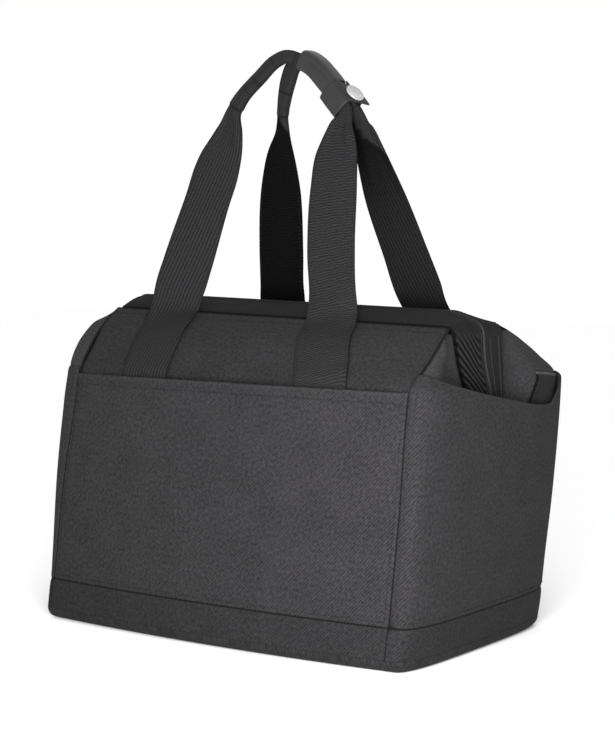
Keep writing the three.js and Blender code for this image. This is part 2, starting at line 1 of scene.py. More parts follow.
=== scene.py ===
# %% [markdown]
# # A soft tool bag
# The bag is sewn from dark canvas: a flat bottom, a low band all round it, open pockets on all four sides,
# and a body whose front and back lean together like a roof under a zip. Two webbing handles meet in one
# grip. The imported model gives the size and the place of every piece. This lesson makes each piece again as
# cloth.

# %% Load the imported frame
import bpy
import numpy as np
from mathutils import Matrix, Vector


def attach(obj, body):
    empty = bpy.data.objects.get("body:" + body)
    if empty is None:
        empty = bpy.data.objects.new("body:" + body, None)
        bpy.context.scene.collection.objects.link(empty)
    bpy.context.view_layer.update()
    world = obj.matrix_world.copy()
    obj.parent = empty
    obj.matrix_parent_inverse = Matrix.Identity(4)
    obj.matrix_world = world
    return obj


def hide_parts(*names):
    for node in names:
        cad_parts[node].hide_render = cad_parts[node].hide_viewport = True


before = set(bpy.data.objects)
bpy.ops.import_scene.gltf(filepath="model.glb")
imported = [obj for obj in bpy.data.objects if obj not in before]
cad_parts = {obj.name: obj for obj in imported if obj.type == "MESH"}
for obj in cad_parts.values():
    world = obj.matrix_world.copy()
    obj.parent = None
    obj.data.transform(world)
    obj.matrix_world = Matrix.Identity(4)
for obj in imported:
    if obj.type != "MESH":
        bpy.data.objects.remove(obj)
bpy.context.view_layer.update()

# %% [markdown]
# ## The camera
# The photograph was taken from the bag's right, a little above its middle, with a long lens. The focal
# length in pixels and the height of the picture give the lens on a sensor 36 mm long.

# %% Place the camera
AZIMUTH, PITCH = np.radians(37.5), np.radians(4.02)
DISTANCE, FAR_CLIP = 1.7282, 50
AIM = np.array([0.0086, 0.0124, 0.2232])
FOCAL_PIXELS, PICTURE_HEIGHT, SENSOR = 1975, 735, 36


def aimed(name, data, place, target):
    """An object at a place, turned to look at a target."""
    made = bpy.data.objects.new(name, data)
    made.location = place
    made.rotation_mode = "QUATERNION"
    made.rotation_quaternion = (Vector(target) - Vector(place)).to_track_quat("-Z", "Y")
    bpy.context.scene.collection.objects.link(made)
    return made


level = np.cos(PITCH)
towards_eye = np.array([np.sin(AZIMUTH) * level, -np.cos(AZIMUTH) * level, np.sin(PITCH)])
lens = bpy.data.cameras.new("camera")
lens.sensor_width = SENSOR
lens.lens = FOCAL_PIXELS / PICTURE_HEIGHT * SENSOR
lens.clip_end = FAR_CLIP
camera = aimed("camera", lens, AIM + towards_eye * DISTANCE, AIM)
bpy.context.scene.camera = camera
print("camera:", round(lens.lens, 2), "mm lens at", np.round(camera.location, 3).tolist())

# %% [markdown]
# ## Light
# The studio light is soft and comes from all round, with more from the front corner that faces the camera.
# A white world gives the even part. One lamp stands close to that corner at the height of the bag's middle,
# so that its light falls off along the front and along the end.

# %% Light the studio
LAMP_PLACE, BAG_MIDDLE = (0.49, -0.67, 0.23), (0, 0, 0.2)
LAMP_SIZE, LAMP_WATTS = 0.3, 13.2

world = bpy.data.worlds.new("studio")
world.use_nodes = True
background = world.node_tree.nodes["Background"]
background.inputs["Color"].default_value = (1, 1, 1, 1)
background.inputs["Strength"].default_value = 1.0
bpy.context.scene.world = world
bpy.context.scene.view_settings.view_transform = "Standard"
light = bpy.data.lights.new("lamp_corner", "AREA")
light.size = LAMP_SIZE
light.energy = LAMP_WATTS
lamp = aimed("lamp_corner", light, LAMP_PLACE, BAG_MIDDLE)
print("lamp:", lamp.name, round(light.energy, 1), "W")

# %% [markdown]
# ## From arrays to meshes
# Every piece is a sheet: a grid of points with rows and columns. A sheet of cloth has two sides, so two
# grids are joined round their edges, with one more row of points between them that rounds the edge. The
# helper also writes a UV map in metres along the cloth, and each point's distance in mm from the nearest
# sewn edge and from the nearest free edge. The materials use the first for painted shade along the seams
# and the second for worn edges.

# %% Grids, rims and meshes
MM = 0.001
FAR = 60.0
cut_sizes = {}


def unit(vectors):
    """Vectors of length one."""
    return vectors / np.maximum(np.linalg.norm(vectors, axis=-1, keepdims=True), 1e-9)


def quads(rows, cols, closed=False):
    """Corner indices of the faces of a grid. Closed: the last column joins the first."""
    spans = cols if closed else cols - 1
    i, j = np.meshgrid(np.arange(rows - 1), np.arange(spans), indexing="ij")
    i, j = i.ravel(), j.ravel()
    k = (j + 1) % cols
    return np.stack([i * cols + j, (i + 1) * cols + j, (i + 1) * cols + k, i * cols + k], 1)


def arc_lengths(grid, axis):
    """Distance travelled along a grid's rows (axis 1) or columns (axis 0), starting at 0."""
    lengths = np.linalg.norm(np.diff(grid, axis=axis), axis=-1)
    first = np.zeros_like(np.take(lengths, [0], axis=axis))
    return np.concatenate([first, np.cumsum(lengths, axis=axis)], axis=axis)


def put_mesh(name, points, faces, uv, marks, material):
    """A mesh object from arrays: points in mm, faces in groups of equal size, and for each point a UV and
    any named marks. The faces are turned so that the volume they enclose is positive."""
    fans = [group[:, [0, k, k + 1]] for group in faces for k in range(1, group.shape[1] - 1)]
    a, b, c = np.moveaxis(points[np.concatenate(fans)], 1, 0)
    if (a * np.cross(b, c)).sum() < 0:
        faces = [group[:, ::-1] for group in faces]
    corners = np.concatenate([group.ravel() for group in faces]).astype(np.int32)
    sizes = np.concatenate([np.full(len(group), group.shape[1]) for group in faces])
    mesh = bpy.data.meshes.new(name)
    mesh.vertices.add(len(points))
    mesh.vertices.foreach_set("co", (points * MM).astype(np.float32).ravel())
    mesh.loops.add(len(corners))
    mesh.loops.foreach_set("vertex_index", corners)
    mesh.polygons.add(len(sizes))
    mesh.polygons.foreach_set("loop_start", (np.cumsum(sizes) - sizes).astype(np.int32))
    mesh.update(calc_edges=True)
    mesh.polygons.foreach_set("use_smooth", np.ones(len(sizes), bool))
    layer = mesh.uv_layers.new(name="cloth")
    layer.data.foreach_set("uv", (uv[corners] * MM).astype(np.float32).ravel())
    for mark, values in marks.items():
        attribute = mesh.attributes.new(mark, "FLOAT", "POINT")
        attribute.data.foreach_set("value", values.astype(np.float32))
    mesh.materials.append(material)
    piece = bpy.data.objects.new(name, mesh)
    bpy.context.scene.collection.objects.link(piece)
    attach(piece, "root")
    return piece


def cloth(name, outer, inner, material, closed=False, free=(), plain=(), seams=FAR, worn=FAR, **marks):
    """A sheet with two sides, outer and inner, and a rounded rim round its open edges. Closed: the columns
    go round in a ring, so only the first and the last row are open. Free: which edges (low, high, left,
    right) aren't sewn down. Plain: which edges get no painted seam shade. Seams and worn: distances from
    lines inside the sheet, which get painted seam shade and are painted pale."""
    rows, cols = outer.shape[:2]
    index = np.arange(rows * cols).reshape(rows, cols)
    i, j = np.indices((rows, cols))
    inside = outer[np.clip(i, 1, rows - 2), j if closed else np.clip(j, 1, cols - 2)]
    thick = np.linalg.norm(outer - inner, axis=-1, keepdims=True)
    middle = (outer + inner) / 2 + unit(outer - inside) * thick / 2
    if closed:
        edges = [np.append(index[0], index[0, 0]), np.append(index[-1], index[-1, 0])[::-1]]
    else:
        edges = [np.concatenate([index[0], index[1:, -1], index[-1, -2::-1], index[-2::-1, 0]])]
    face = quads(rows, cols, closed)
    count = rows * cols
    faces = [face, face[:, ::-1] + count]
    for edge in edges:
        a, b = edge[:-1], edge[1:]
        faces.append(np.stack([a, b, b + 2 * count, a + 2 * count], 1))
        faces.append(np.stack([a + 2 * count, b + 2 * count, b + count, a + count], 1))
    points = np.concatenate([outer, inner, middle]).reshape(-1, 3)
    along, across = arc_lengths(outer, 0), arc_lengths(outer, 1)
    closing = np.linalg.norm(outer[:, 0] - outer[:, -1], axis=-1).max() if closed else 0.0
    cut_sizes[name] = (across.max() + closing) * MM, along.max() * MM
    from_edge = {"low": along, "high": along[-1:] - along}
    if not closed:
        from_edge |= {"left": across, "right": across[:, -1:] - across}
    sewn = [edge for edge in from_edge if edge not in (*free, *plain)]
    for mark, start, near in (("sewn", seams, sewn), ("free", worn, free)):
        marks[mark] = np.minimum.reduce([np.zeros((rows, cols)) + start] + [from_edge[edge] for edge in near])
    uv = np.tile(np.stack([across, along], -1).reshape(-1, 2), (3, 1))
    used, order = np.unique(np.concatenate(faces), return_inverse=True)
    marks = {mark: np.tile(values.ravel(), 3)[used] for mark, values in marks.items()}
    return put_mesh(name, points[used], [order.reshape(-1, 4)], uv[used], marks, material)


def stuffed(name, rings, uv, material, **marks):
    """A closed skin over a stack of rings, with each end drawn together to the middle of its ring."""
    count, sides = rings.shape[:2]
    points = np.concatenate([rings.reshape(-1, 3), rings[[0, -1]].mean(1)])
    first = np.arange(sides)
    after = (first + 1) % sides
    last = (count - 1) * sides
    near = np.stack([np.full(sides, count * sides), first, after], 1)
    far = np.stack([np.full(sides, count * sides + 1), last + after, last + first], 1)
    uv = np.concatenate([uv.reshape(-1, 2), uv[[0, -1]].mean(1)])
    for mark, values in marks.items():
        marks[mark] = np.concatenate([values.ravel(), values[[0, -1]].mean(1)])
    return put_mesh(name, points, [quads(count, sides, closed=True), near, far], uv, marks, material)


def spread_out(*stretches):
    """Sample places: several even stretches (from, to, count) joined end to end."""
    parts = [np.linspace(a, b, n, endpoint=False) for a, b, n in stretches]
    return np.concatenate(parts + [[stretches[-1][1]]])


print("helpers: cloth, stuffed")

# %% [markdown]
# ## Finishes
# The whole bag is charcoal, so the finishes differ in weave and in gloss more than in colour. Each one is
# built from wave and noise textures on the UV map in metres, which keeps a thread the same size on every
# piece. The distances from the edges paint shade along the seams and lighten the worn edges a little.

# %% A helper for node materials
SHEEN_ROUGHNESS, WAVE_PERIOD = 0.5, np.pi / 10
NOISE_RANGE, FULL = (0.3, 0.7), (0, 1)


def start_finish(name, roughness, sheen=0.0, metallic=0.0, gloss=0.04):
    """A new material, a function that adds a node, and one that links an output to the shader. A node's
    settings go to the node, and values and links go to its inputs, by name or by position."""
    material = bpy.data.materials.new(name)
    material.use_nodes = True
    tree = material.node_tree
    shader = tree.nodes["Principled BSDF"]
    shader.inputs["Roughness"].default_value = roughness
    shader.inputs["Metallic"].default_value = metallic
    shader.inputs["Specular IOR Level"].default_value = gloss
    shader.inputs["Sheen Weight"].default_value = sheen
    shader.inputs["Sheen Roughness"].default_value = SHEEN_ROUGHNESS

    def node(kind, settings, inputs):
        made = tree.nodes.new("ShaderNode" + kind)
        for key, value in settings.items():
            setattr(made, key, value)
        for place, value in inputs.items():
            if isinstance(value, bpy.types.NodeSocket):
                tree.links.new(value, made.inputs[place])
            else:
                made.inputs[place].default_value = value
        return made.outputs

    def wire(output, socket):
        tree.links.new(output, shader.inputs[socket])

    return material, node, wire


def mapped(node, degrees=0):
    """UV coordinates in metres, turned about their origin."""
    uv = node("TexCoord", {}, {})["UV"]
    return node("Mapping", {}, {"Vector": uv, "Rotation": (0, 0, np.radians(degrees))})[0]


def ribs(node, coords, period, wobble=0.0):
    """Bright and dark bands across X, one pair per period in metres."""
    inputs = {"Vector": coords, "Scale": WAVE_PERIOD / period, "Distortion": wobble, "Detail": 1.0}
    return node("TexWave", {"bands_direction": "X"}, inputs)["Fac"]


def speckle(node, coords, grain, detail=2.0):
    """Noise whose spots are about one grain across, in metres."""
    return node("TexNoise", {}, {"Vector": coords, "Scale": 1 / grain, "Detail": detail})["Fac"]


def mark(node, name):
    """A mark that the mesh carries at each point."""
    return node("Attribute", {"attribute_name": name}, {})["Fac"]


def mix(node, factor, low, high):
    """A colour between two, by a factor."""
    return node("Mix", {"data_type": "RGBA"}, {0: factor, 6: low, 7: high})[2]


def between(node, factor, low, high):
    """A number between two, by a factor."""
    return node("Mix", {"data_type": "FLOAT"}, {0: factor, 2: low, 3: high})[0]


def ranged(node, value, from_range, to_range=FULL):
    """A value carried from one range to another and held inside it."""
    places = {0: value, 1: from_range[0], 2: from_range[1], 3: to_range[0], 4: to_range[1]}
    return node("MapRange", {}, places)[0]


def weighted(node, *terms):
    """A sum of values, each times its weight."""
    total = 0.0
    for value, weight in terms:
        total = node("Math", {"operation": "MULTIPLY_ADD"}, {0: value, 1: weight, 2: total})[0]
    return total


def bump(node, strength, depth, height):
    """A normal that follows a height, which is so many metres deep."""
    return node("Bump", {}, {"Strength": strength, "Distance": depth, "Height": height})["Normal"]


def grey(value):
    """A charcoal of a given brightness, with a trace less green than neutral."""
    return (value, value * 0.96, value * 1.01, 1)


def white(value):
    """A neutral tone of a given brightness."""
    return (value, value, value, 1)


print("finish helpers ready")

# %% [markdown]
# ### Canvas
# Canvas twill has fine diagonal lines broken up by uneven threads. A slanted wave and a noise of the same
# size give both the height for the bump and the changes of tone. Along its seams the cloth is painted dark,
# which is painted shade in the seam, and it is pale where a free edge has been handled.

# %% Canvas
TWILL_PITCH, TWILL_SLANT, PATCH_SLANT = 0.0023, 42, 75
THREAD_GRAIN, BLOTCH_GRAIN = 1.2 * TWILL_PITCH, 0.03
TWILL_SHARE, THREAD_SHARE, BLOTCH_SHARE = 0.3, 1.2, 0.3
CANVAS_CONTRAST, CANVAS_RANGE, CANVAS_DEPTH = 0.62, (0.45, 1.35), 0.0006
# The seam constants set how dark the painted shade along the seams is.
SEAM_SHADE_STRENGTH, SEAM_SHADE_TONE, WORN_RANGE, CANVAS_ROUGHNESS = 0.85, 0.15, (0.5, 2.4), (0.95, 0.82)


def canvas_finish(name, tone, slant=TWILL_SLANT, wear=0.25, pale=0.06, seam=1.0):
    """Twill: slanted ribs and uneven threads as bump and tone, broad blotches, painted shade along the
    seams and pale worn free edges."""
    material, node, wire = start_finish(name, 0.88, sheen=0.015)
    twill = ribs(node, mapped(node, slant), TWILL_PITCH, wobble=2.2)
    flat = mapped(node)
    threads = speckle(node, flat, THREAD_GRAIN, detail=3.0)
    blotches = speckle(node, flat, BLOTCH_GRAIN)
    weave = weighted(node, (twill, TWILL_SHARE), (threads, THREAD_SHARE))
    tint = ranged(node, weighted(node, (weave, 1.0), (blotches, BLOTCH_SHARE)), CANVAS_RANGE)
    colour = mix(node, tint, grey(tone * (1 - CANVAS_CONTRAST)), grey(tone * (1 + CANVAS_CONTRAST)))
    # Painted shade in the seams: the cloth turns dark near a sewn edge.
    sewn = ranged(node, mark(node, "sewn"), (seam - 1.0, seam), (SEAM_SHADE_STRENGTH, 0.0))
    colour = mix(node, sewn, colour, grey(tone * SEAM_SHADE_TONE))
    worn = weighted(node, (ranged(node, mark(node, "free"), WORN_RANGE, (wear, 0.0)), threads))
    wire(mix(node, worn, colour, grey(pale)), "Base Color")
    wire(bump(node, 0.7, CANVAS_DEPTH, weave), "Normal")
    wire(ranged(node, threads, NOISE_RANGE, CANVAS_ROUGHNESS), "Roughness")
    return material


pocket_canvas = canvas_finish("pocket_canvas", 0.0175, wear=0.15)
# Roof: a wider band of painted seam shade.
roof_canvas = canvas_finish("roof_canvas", 0.0163, seam=2.0)
# End walls: lighter than the other canvas, which is painted light falling on the ends, with a wider band of
# painted seam shade.
wall_canvas_painted_light = canvas_finish("wall_canvas_painted_light", 0.0245, seam=1.8)
base_canvas = canvas_finish("base_canvas", 0.0145)
# Patch: darker than the wall, which is painted shade; its free top edge is painted pale.
patch_canvas_painted_shade = canvas_finish("patch_canvas_painted_shade", 0.0115, slant=PATCH_SLANT, wear=1.0, pale=0.11)
print("canvas:", [m.name for m in (pocket_canvas, roof_canvas, wall_canvas_painted_light, base_canvas, patch_canvas_painted_shade)])

# %% [markdown]
# ### Hem cloth
# The strips along the zip are a smoother black cloth. Where the front strip runs down the ends it shows
# bold slanted ribs, so the mesh carries a mark for how ribbed each point is.

# %% Hem cloth
HEM_PITCH, HEM_SLANT, HEM_GRAIN, HEM_DEPTH = 0.0037, 24, 0.0018, 0.0011
HEM_SEAM_SHADE_RANGE, HEM_WEAR_AND_HIGHLIGHT_RANGE, BOLD_RANGE = (0.7, 2.2), (0.5, 1.5), (0.3, 0.8)


def hem_finish(name, tone):
    """A fine grain everywhere, bold slanted ribs by the mark, painted shade at the sewn edges, a pale worn
    free edge, and painted highlights along the back strip's ridges.
    """
    material, node, wire = start_finish(name, 0.8, sheen=0.01, gloss=0.03)
    ribbed = mark(node, "ribbed")
    bold = ribs(node, mapped(node, HEM_SLANT), HEM_PITCH, wobble=0.4)
    threads = speckle(node, mapped(node), HEM_GRAIN)
    plain = mix(node, ranged(node, threads, NOISE_RANGE), grey(tone * 0.75), grey(tone * 1.25))
    lined = mix(node, ranged(node, bold, BOLD_RANGE), grey(tone * 0.2), grey(tone * 2.0))
    # Painted shade at the sewn edges; pale at the worn free edge and, as painted highlight, along the back
    # strip's ridges.
    sewn = ranged(node, mark(node, "sewn"), HEM_SEAM_SHADE_RANGE, (0.9, 0.0))
    worn = ranged(node, mark(node, "free"), HEM_WEAR_AND_HIGHLIGHT_RANGE, (0.5, 0.0))
    colour = mix(node, sewn, mix(node, ribbed, plain, lined), grey(tone * 0.1))
    wire(mix(node, worn, colour, grey(tone * 4)), "Base Color")
    wire(bump(node, 0.9, HEM_DEPTH, weighted(node, (bold, ribbed), (threads, 0.4))), "Normal")
    return material


hem_cloth = hem_finish("hem_cloth", 0.0095)
print("hem:", hem_cloth.name)

# %% [markdown]
# ### Webbing
# Handle webbing is woven across thick cords. Where it hangs straight the cords show as lines along it, and
# where it is pressed together they show as close ribs across it. Its outer side is charcoal, and its inner
# side is painted near black, which is painted shade where the back handle's legs face the front. On these
# bands the UV's first axis runs across the band and the second along it.

# %% Webbing
CROSS_PITCH, CORD_PITCH, CORD_SLANT, WEB_GRAIN, WEB_DEPTH = 0.0024, 0.0034, 8, 0.0018, 0.0009
RIB_SHARE, WEB_SHARE, SMOOTH_HEIGHT, WEB_RANGE = 0.5, 0.8, 0.62, (0.25, 1.05)
WEB_WORN_RANGE, BOUND_RANGE = (0.3, 1.4), (0.3, 1.0)


def webbing_finish(name, tone, lining):
    """Close ribs across one leg and cords along the other, none on the grip, and painted shade, near black,
    on the inner side by the mark."""
    material, node, wire = start_finish(name, 0.75, sheen=0.005, gloss=0.02)
    cross = ribs(node, mapped(node, 90), CROSS_PITCH, wobble=5.0)
    cords = ribs(node, mapped(node, CORD_SLANT), CORD_PITCH, wobble=0.8)
    threads = speckle(node, mapped(node), WEB_GRAIN, detail=3.0)
    ribbed = between(node, mark(node, "corded"), cross, cords)
    weave = weighted(node, (ribbed, RIB_SHARE), (threads, WEB_SHARE))
    weave = between(node, mark(node, "woven"), SMOOTH_HEIGHT, weave)
    tint = ranged(node, weave, WEB_RANGE)
    outer, inner = (mix(node, tint, grey(side * 0.6), grey(side * 1.5)) for side in (tone, lining))
    worn = ranged(node, mark(node, "free"), WEB_WORN_RANGE, (0.4, 0.0))
    bound = ranged(node, mark(node, "sewn"), BOUND_RANGE, (0.55, 0.0))
    colour = mix(node, worn, outer, grey(tone * 0.35))
    # Painted shade: the inner side takes the near black tone by its mark.
    colour = mix(node, mark(node, "lining"), colour, inner)
    wire(mix(node, bound, colour, grey(tone * 0.2)), "Base Color")
    wire(bump(node, 0.9, WEB_DEPTH, weave), "Normal")
    return material


# The second tone is the near black painted shade of the inner side.
strap_webbing = webbing_finish("strap_webbing", 0.0148, 0.0024)
print("webbing:", strap_webbing.name)

# %% [markdown]
# ### Wrap, zip, metal and thread
# The wrap round the grip is smoother and glossier than the canvas. The zip is black plastic. The snap's cap
# is pale brushed metal. Thread is a little darker than the cloth.

# %% The small finishes
BROADER, PLAIN_RANGE, GLOSS_SPREAD = 18, (0.35, 0.65), 0.15


def plain_finish(name, tone, roughness, grain, depth, gloss=0.2, metallic=0.0, spread=0.15, tint=grey):
    """One tone with a fine grain: the grain moves the tone by its spread, and gives the bump and the
    gloss."""
    material, node, wire = start_finish(name, roughness, metallic=metallic, gloss=gloss)
    coords = node("TexCoord", {}, {})["Object"]
    fine, broad = (speckle(node, coords, size) for size in (grain, grain * BROADER))
    mixed = weighted(node, (fine, 0.5), (broad, 0.5))
    dark, pale = tint(tone * (1 - spread)), tint(tone * (1 + spread))
    rough = roughness * (1 - GLOSS_SPREAD), min(1, roughness * (1 + GLOSS_SPREAD))
    wire(mix(node, ranged(node, mixed, PLAIN_RANGE), dark, pale), "Base Color")
    wire(ranged(node, mixed, NOISE_RANGE, rough), "Roughness")
    wire(bump(node, 0.4, depth, fine), "Normal")
    return material


wrap_skin = plain_finish("wrap_skin", 0.016, 0.38, 0.0012, 0.0002, gloss=0.25)
tab_skin = plain_finish("tab_skin", 0.0135, 0.5, 0.0013, 0.0002, gloss=0.25)
zip_plastic = plain_finish("zip_plastic", 0.003, 0.5, 0.001, 0.0001, gloss=0.1)
zip_metal = plain_finish("zip_metal", 0.02, 0.35, 0.0008, 0.0001, metallic=0.9)
snap_metal = plain_finish("snap_metal", 0.42, 0.35, 0.0006, 0.00005, metallic=0.5, tint=white)
thread = plain_finish("thread", 0.011, 0.8, 0.0005, 0.0001, gloss=0.05)
print("small finishes:", [m.name for m in (wrap_skin, tab_skin, zip_plastic, zip_metal, snap_metal, thread)])

# %% [markdown]
# ## The floor
# A wide pale sheet lies just under the bag. It isn't part of the object.

# %% Floor
FLOOR_HALF, FLOOR_DROP = 5.0, 0.0003
floor_pale = plain_finish("floor_pale", 0.99, 0.9, 0.004, 0.0001, spread=0.005, tint=white)
floor_mesh = bpy.data.meshes.new("floor")
floor_sides = [(-1, -1), (1, -1), (1, 1), (-1, 1)]
floor_corners = [(x * FLOOR_HALF, y * FLOOR_HALF, -FLOOR_DROP) for x, y in floor_sides]
floor_mesh.from_pydata(floor_corners, [], [range(4)])
floor_mesh.materials.append(floor_pale)
floor = bpy.data.objects.new("floor", floor_mesh)
bpy.context.scene.collection.objects.link(floor)
print("floor:", 2 * FLOOR_HALF, "m square")

# %% [markdown]
# ## The bag's outline
# A few measured heights hold the bag's shape: where the front, back, left and right seams stand, how far
# the ends bulge and how far the faces swell. A curve through each column gives every height between,
# without overshoot. All shapes are in millimetres until they become a mesh.

# %% Curves through measured values
def smooth(t):
    """0 up to 0, 1 from 1 on, and three t squared less two t cubed between."""
    t = np.clip(t, 0, 1)
    return t * t * (3 - 2 * t)


def hermite(places, values, slopes, at):
    """A cubic between each pair of places that has the given values and slopes at both."""
    at = np.clip(at, places[0], places[-1])
    k = np.clip(np.searchsorted(places, at, side="right") - 1, 0, len(places) - 2)
    span = places[k + 1] - places[k]
    t = (at - places[k]) / span
    if values.ndim > 1:
        t, span = t[..., None], span[..., None]
    bend = slopes[k] * t * (1 - t) ** 2 - slopes[k + 1] * t * t * (1 - t)
    return values[k] * (1 - smooth(t)) + values[k + 1] * smooth(t) + span * bend


def curve_through(places, values):
    """A curve without overshoot: the slope at a place is the harmonic mean of the slopes beside it, and 0
    where the values turn."""
    places, values = np.array(places, float), np.array(values, float)
    slope = np.diff(values) / np.diff(places)
    a, b = slope[:-1], slope[1:]
    inner = np.where(a * b > 0, 2 * a * b / np.where(a + b == 0, 1, a + b), 0)
    slopes = np.concatenate([slope[:1], inner, slope[-1:]])
    return lambda at: hermite(places, values, slopes, np.asarray(at, float))


def flow_through(rows, step):
    """A flowing curve through rows of numbers, by distance along their first three: the slope at a row is
    that of a parabola through the row and its neighbours. Rows come out one step apart."""
    at = arc_lengths(rows[:, :3], 0)
    along = np.linspace(0, at[-1], int(round(at[-1] / step)) + 1)
    return along, hermite(at, rows, np.gradient(rows, at, axis=0), along)


OUTLINE_HEIGHTS = [0, 36, 120, 218, 238, 256, 271]
OUTLINE = {
    "left": [-179, -175.5, -170.5, -158, -162, -166, -168],
    "right": [185, 187, 191, 195, 197, 196, 191],
    "front": [-120.5, -117.5, -110, -102.5, -84.5, -62, -39],
    "back": [122, 123, 126, 129, 100, 67, 36],
    "bulge_left": [9, 13, 23, 33, 33, 25, 6],
    "bulge_right": [22, 26, 26, 23, 9, 4, 2],
    "swell": [10, 9, 5, 5, 5, 3, 0],
    "taper": [18, 18, 14, 10, 10, 10, 10],
}
outline = {side: curve_through(OUTLINE_HEIGHTS, values) for side, values in OUTLINE.items()}
print("outline columns:", list(outline))

# %% [markdown]
# ## Walls as functions
# The front and back are faces: a point is given by its share of the way across and its height. The ends are
# rounded outlines from the front seam to the back seam. The body hangs a layer inside the pockets, and
# sinks away from them towards their mouths. The end walls are pressed flat where the hem strips run down
# over them.

# %% Points of the faces and ends
SEAM_GAP, END_SQUARENESS, FULL_DEPTH = 0.4, 3.5, 242
BAND_LOW, BAND_TOP, POCKET_LOW, BODY_LOW, MOUTH = 10, 35, 35.4, 12, 217
ROOF_FOOT, ROOF_TOP, HEM_BED = 218, 269.2, 270.8
TOP_TILT, TOP_MIDDLE, TOP_HALF = 4, 13.5, 181.5


def placed(x, y, z):
    """Points from three coordinates that may have different shapes."""
    return np.stack(np.broadcast_arrays(x, y, z), -1).astype(float)


def settle(points):
    """The roof leans: points rise towards the left end and sink towards the right, fully so at the top."""
    share = smooth((points[..., 2] - ROOF_FOOT) / (ROOF_TOP - ROOF_FOOT))
    points[..., 2] += TOP_TILT * share * (TOP_MIDDLE - points[..., 0]) / TOP_HALF
    return points


def face_point(face, u, z, inset):
    """A point of the front (face -1) or back (face 1). u is -1 at the left seam and 1 at the right seam."""
    front, back = outline["front"](z), outline["back"](z)
    taper = outline["taper"](z) * (back - front) / FULL_DEPTH * (face > 0)
    left, right = outline["left"](z) + taper + SEAM_GAP, outline["right"](z) - taper - SEAM_GAP
    y = (back if face > 0 else front) + face * (outline["swell"](z) * (1 - u * u) - inset)
    return placed(left + (right - left) * (u + 1) / 2, y, z)


def reach(share):
    """How far an end stands out at a share of the way round it: a squarish half circle."""
    return (1 - np.abs(1 - 2 * share) ** END_SQUARENESS) ** (1 / END_SQUARENESS)


def end_point(side, share, z, inset, slack=0.0):
    """A point of an end (side -1 left, 1 right): the seam plus the bulge times the reach."""
    front, back = outline["front"](z), outline["back"](z)
    seam, bulge = ("right", "bulge_right") if side > 0 else ("left", "bulge_left")
    taper = outline["taper"](z) * share * (back - front) / FULL_DEPTH
    x = outline[seam](z) - side * taper + side * (outline[bulge](z) - inset - slack) * reach(share)
    return placed(x, front + inset + (back - front - 2 * inset) * share, z)


print("mouth of the front pocket:", np.round(face_point(-1, np.array([-1, 0, 1]), MOUTH, 0), 1).tolist())

# %% Points of the body
LAYER, SURFACE_FROM, SURFACE_SPAN = 2.8, 240, 22
FRONT_SLACK, END_SLACK, LEFT_SLACK, GAPE_CLOSE, HUG_FROM, HUG_SPAN = 11, 6, 2.8, 40, 0.06, 0.3
SOONER, SOONER_FROM, SOONER_SPAN, SOONER_Z, SOONER_RISE = 26, 0.6, 0.3, 214, 10
STRIP_LOW, STRIP_LEFT, STRIP_RIGHT, STRIP_BEND = 182, -168, 195, 8
BED_BELOW, PRESS_FROM, PRESS_SPAN, PRESS_REACH = 3.2, 70, 95, 1.6
STRIP_HEIGHTS, BED_HEIGHTS = [STRIP_LOW, 209, 240, HEM_BED], [225, 250]

strip_middle = curve_through(STRIP_HEIGHTS, [17, 11.6, 1.6, -1.5])
strip_front = curve_through(STRIP_HEIGHTS, [31, 31, 33, 38])
strip_back = curve_through(STRIP_HEIGHTS, [20, 25, 34, 36])
back_margin, front_margin = curve_through(BED_HEIGHTS, [17, 7]), curve_through(BED_HEIGHTS, [8, 5])
back_fade, front_fade = curve_through(BED_HEIGHTS, [30, 15]), curve_through(BED_HEIGHTS, [54, 18])


def body_inset(z):
    """The body lies one layer inside the pockets, and comes out to the outline in the roof."""
    return LAYER * (1 - smooth((z - SURFACE_FROM) / SURFACE_SPAN))


def gape(z):
    """How far the pockets stand open: nothing at the band, most at the mouth, gone in the roof."""
    return smooth((z - BAND_TOP) / (ROOF_FOOT - BAND_TOP)) * (1 - smooth((z - ROOF_FOOT) / GAPE_CLOSE))


def panel_point(face, u, z, depth):
    """A point of the body's front or back, at a depth below its outer side."""
    slack = FRONT_SLACK * gape(z) * (1 - u * u)
    return settle(face_point(face, u, z, body_inset(z) + slack + depth))


def gusset_point(side, share, z, depth):
    """A point of an end wall: the end's outline, pressed in to a flat bed behind the hem strips. The left
    wall, and the right one at the back, come out to the outline sooner above their pockets."""
    most = END_SLACK if side > 0 else LEFT_SLACK
    slack = most * gape(z) * smooth((share - HUG_FROM) / HUG_SPAN)
    sooner = smooth((share - SOONER_FROM) / SOONER_SPAN) if side > 0 else 1
    layer = body_inset(z + SOONER * sooner * smooth((z - SOONER_Z) / SOONER_RISE))
    points = end_point(side, share, z, layer + depth, slack)
    aside = points[..., 1] - strip_middle(z)
    edge = np.where(aside < 0, strip_front(z) + front_margin(z), strip_back(z) + back_margin(z))
    beside = smooth((np.abs(aside) - edge) / np.where(aside < 0, front_fade(z), back_fade(z)))
    pressed = smooth((z - PRESS_FROM) / PRESS_SPAN) * (1 - beside) * smooth(PRESS_REACH * reach(share))
    below = BED_BELOW + depth
    radius = np.maximum(STRIP_BEND - below, 0)
    rise = np.maximum(0, z - (HEM_BED - STRIP_BEND))
    inward = STRIP_BEND - np.sqrt(np.maximum(1, radius**2 - np.minimum(rise, radius) ** 2))
    sunk = np.where((rise > 0) & (radius > 1), inward, below)
    bed = (STRIP_RIGHT if side > 0 else STRIP_LEFT) - side * sunk
    points[..., 0] += (bed - points[..., 0]) * pressed
    return settle(points)


print("beds of the strips at x:", STRIP_LEFT + BED_BELOW, STRIP_RIGHT - BED_BELOW)

# %% [markdown]
# ## Seams and slack
# Cloth is never as smooth as its pattern. Where it is sewn it dips towards the seam, a folded mouth is a
# little thicker above its line of stitches, and between seams it has slow, low waves.

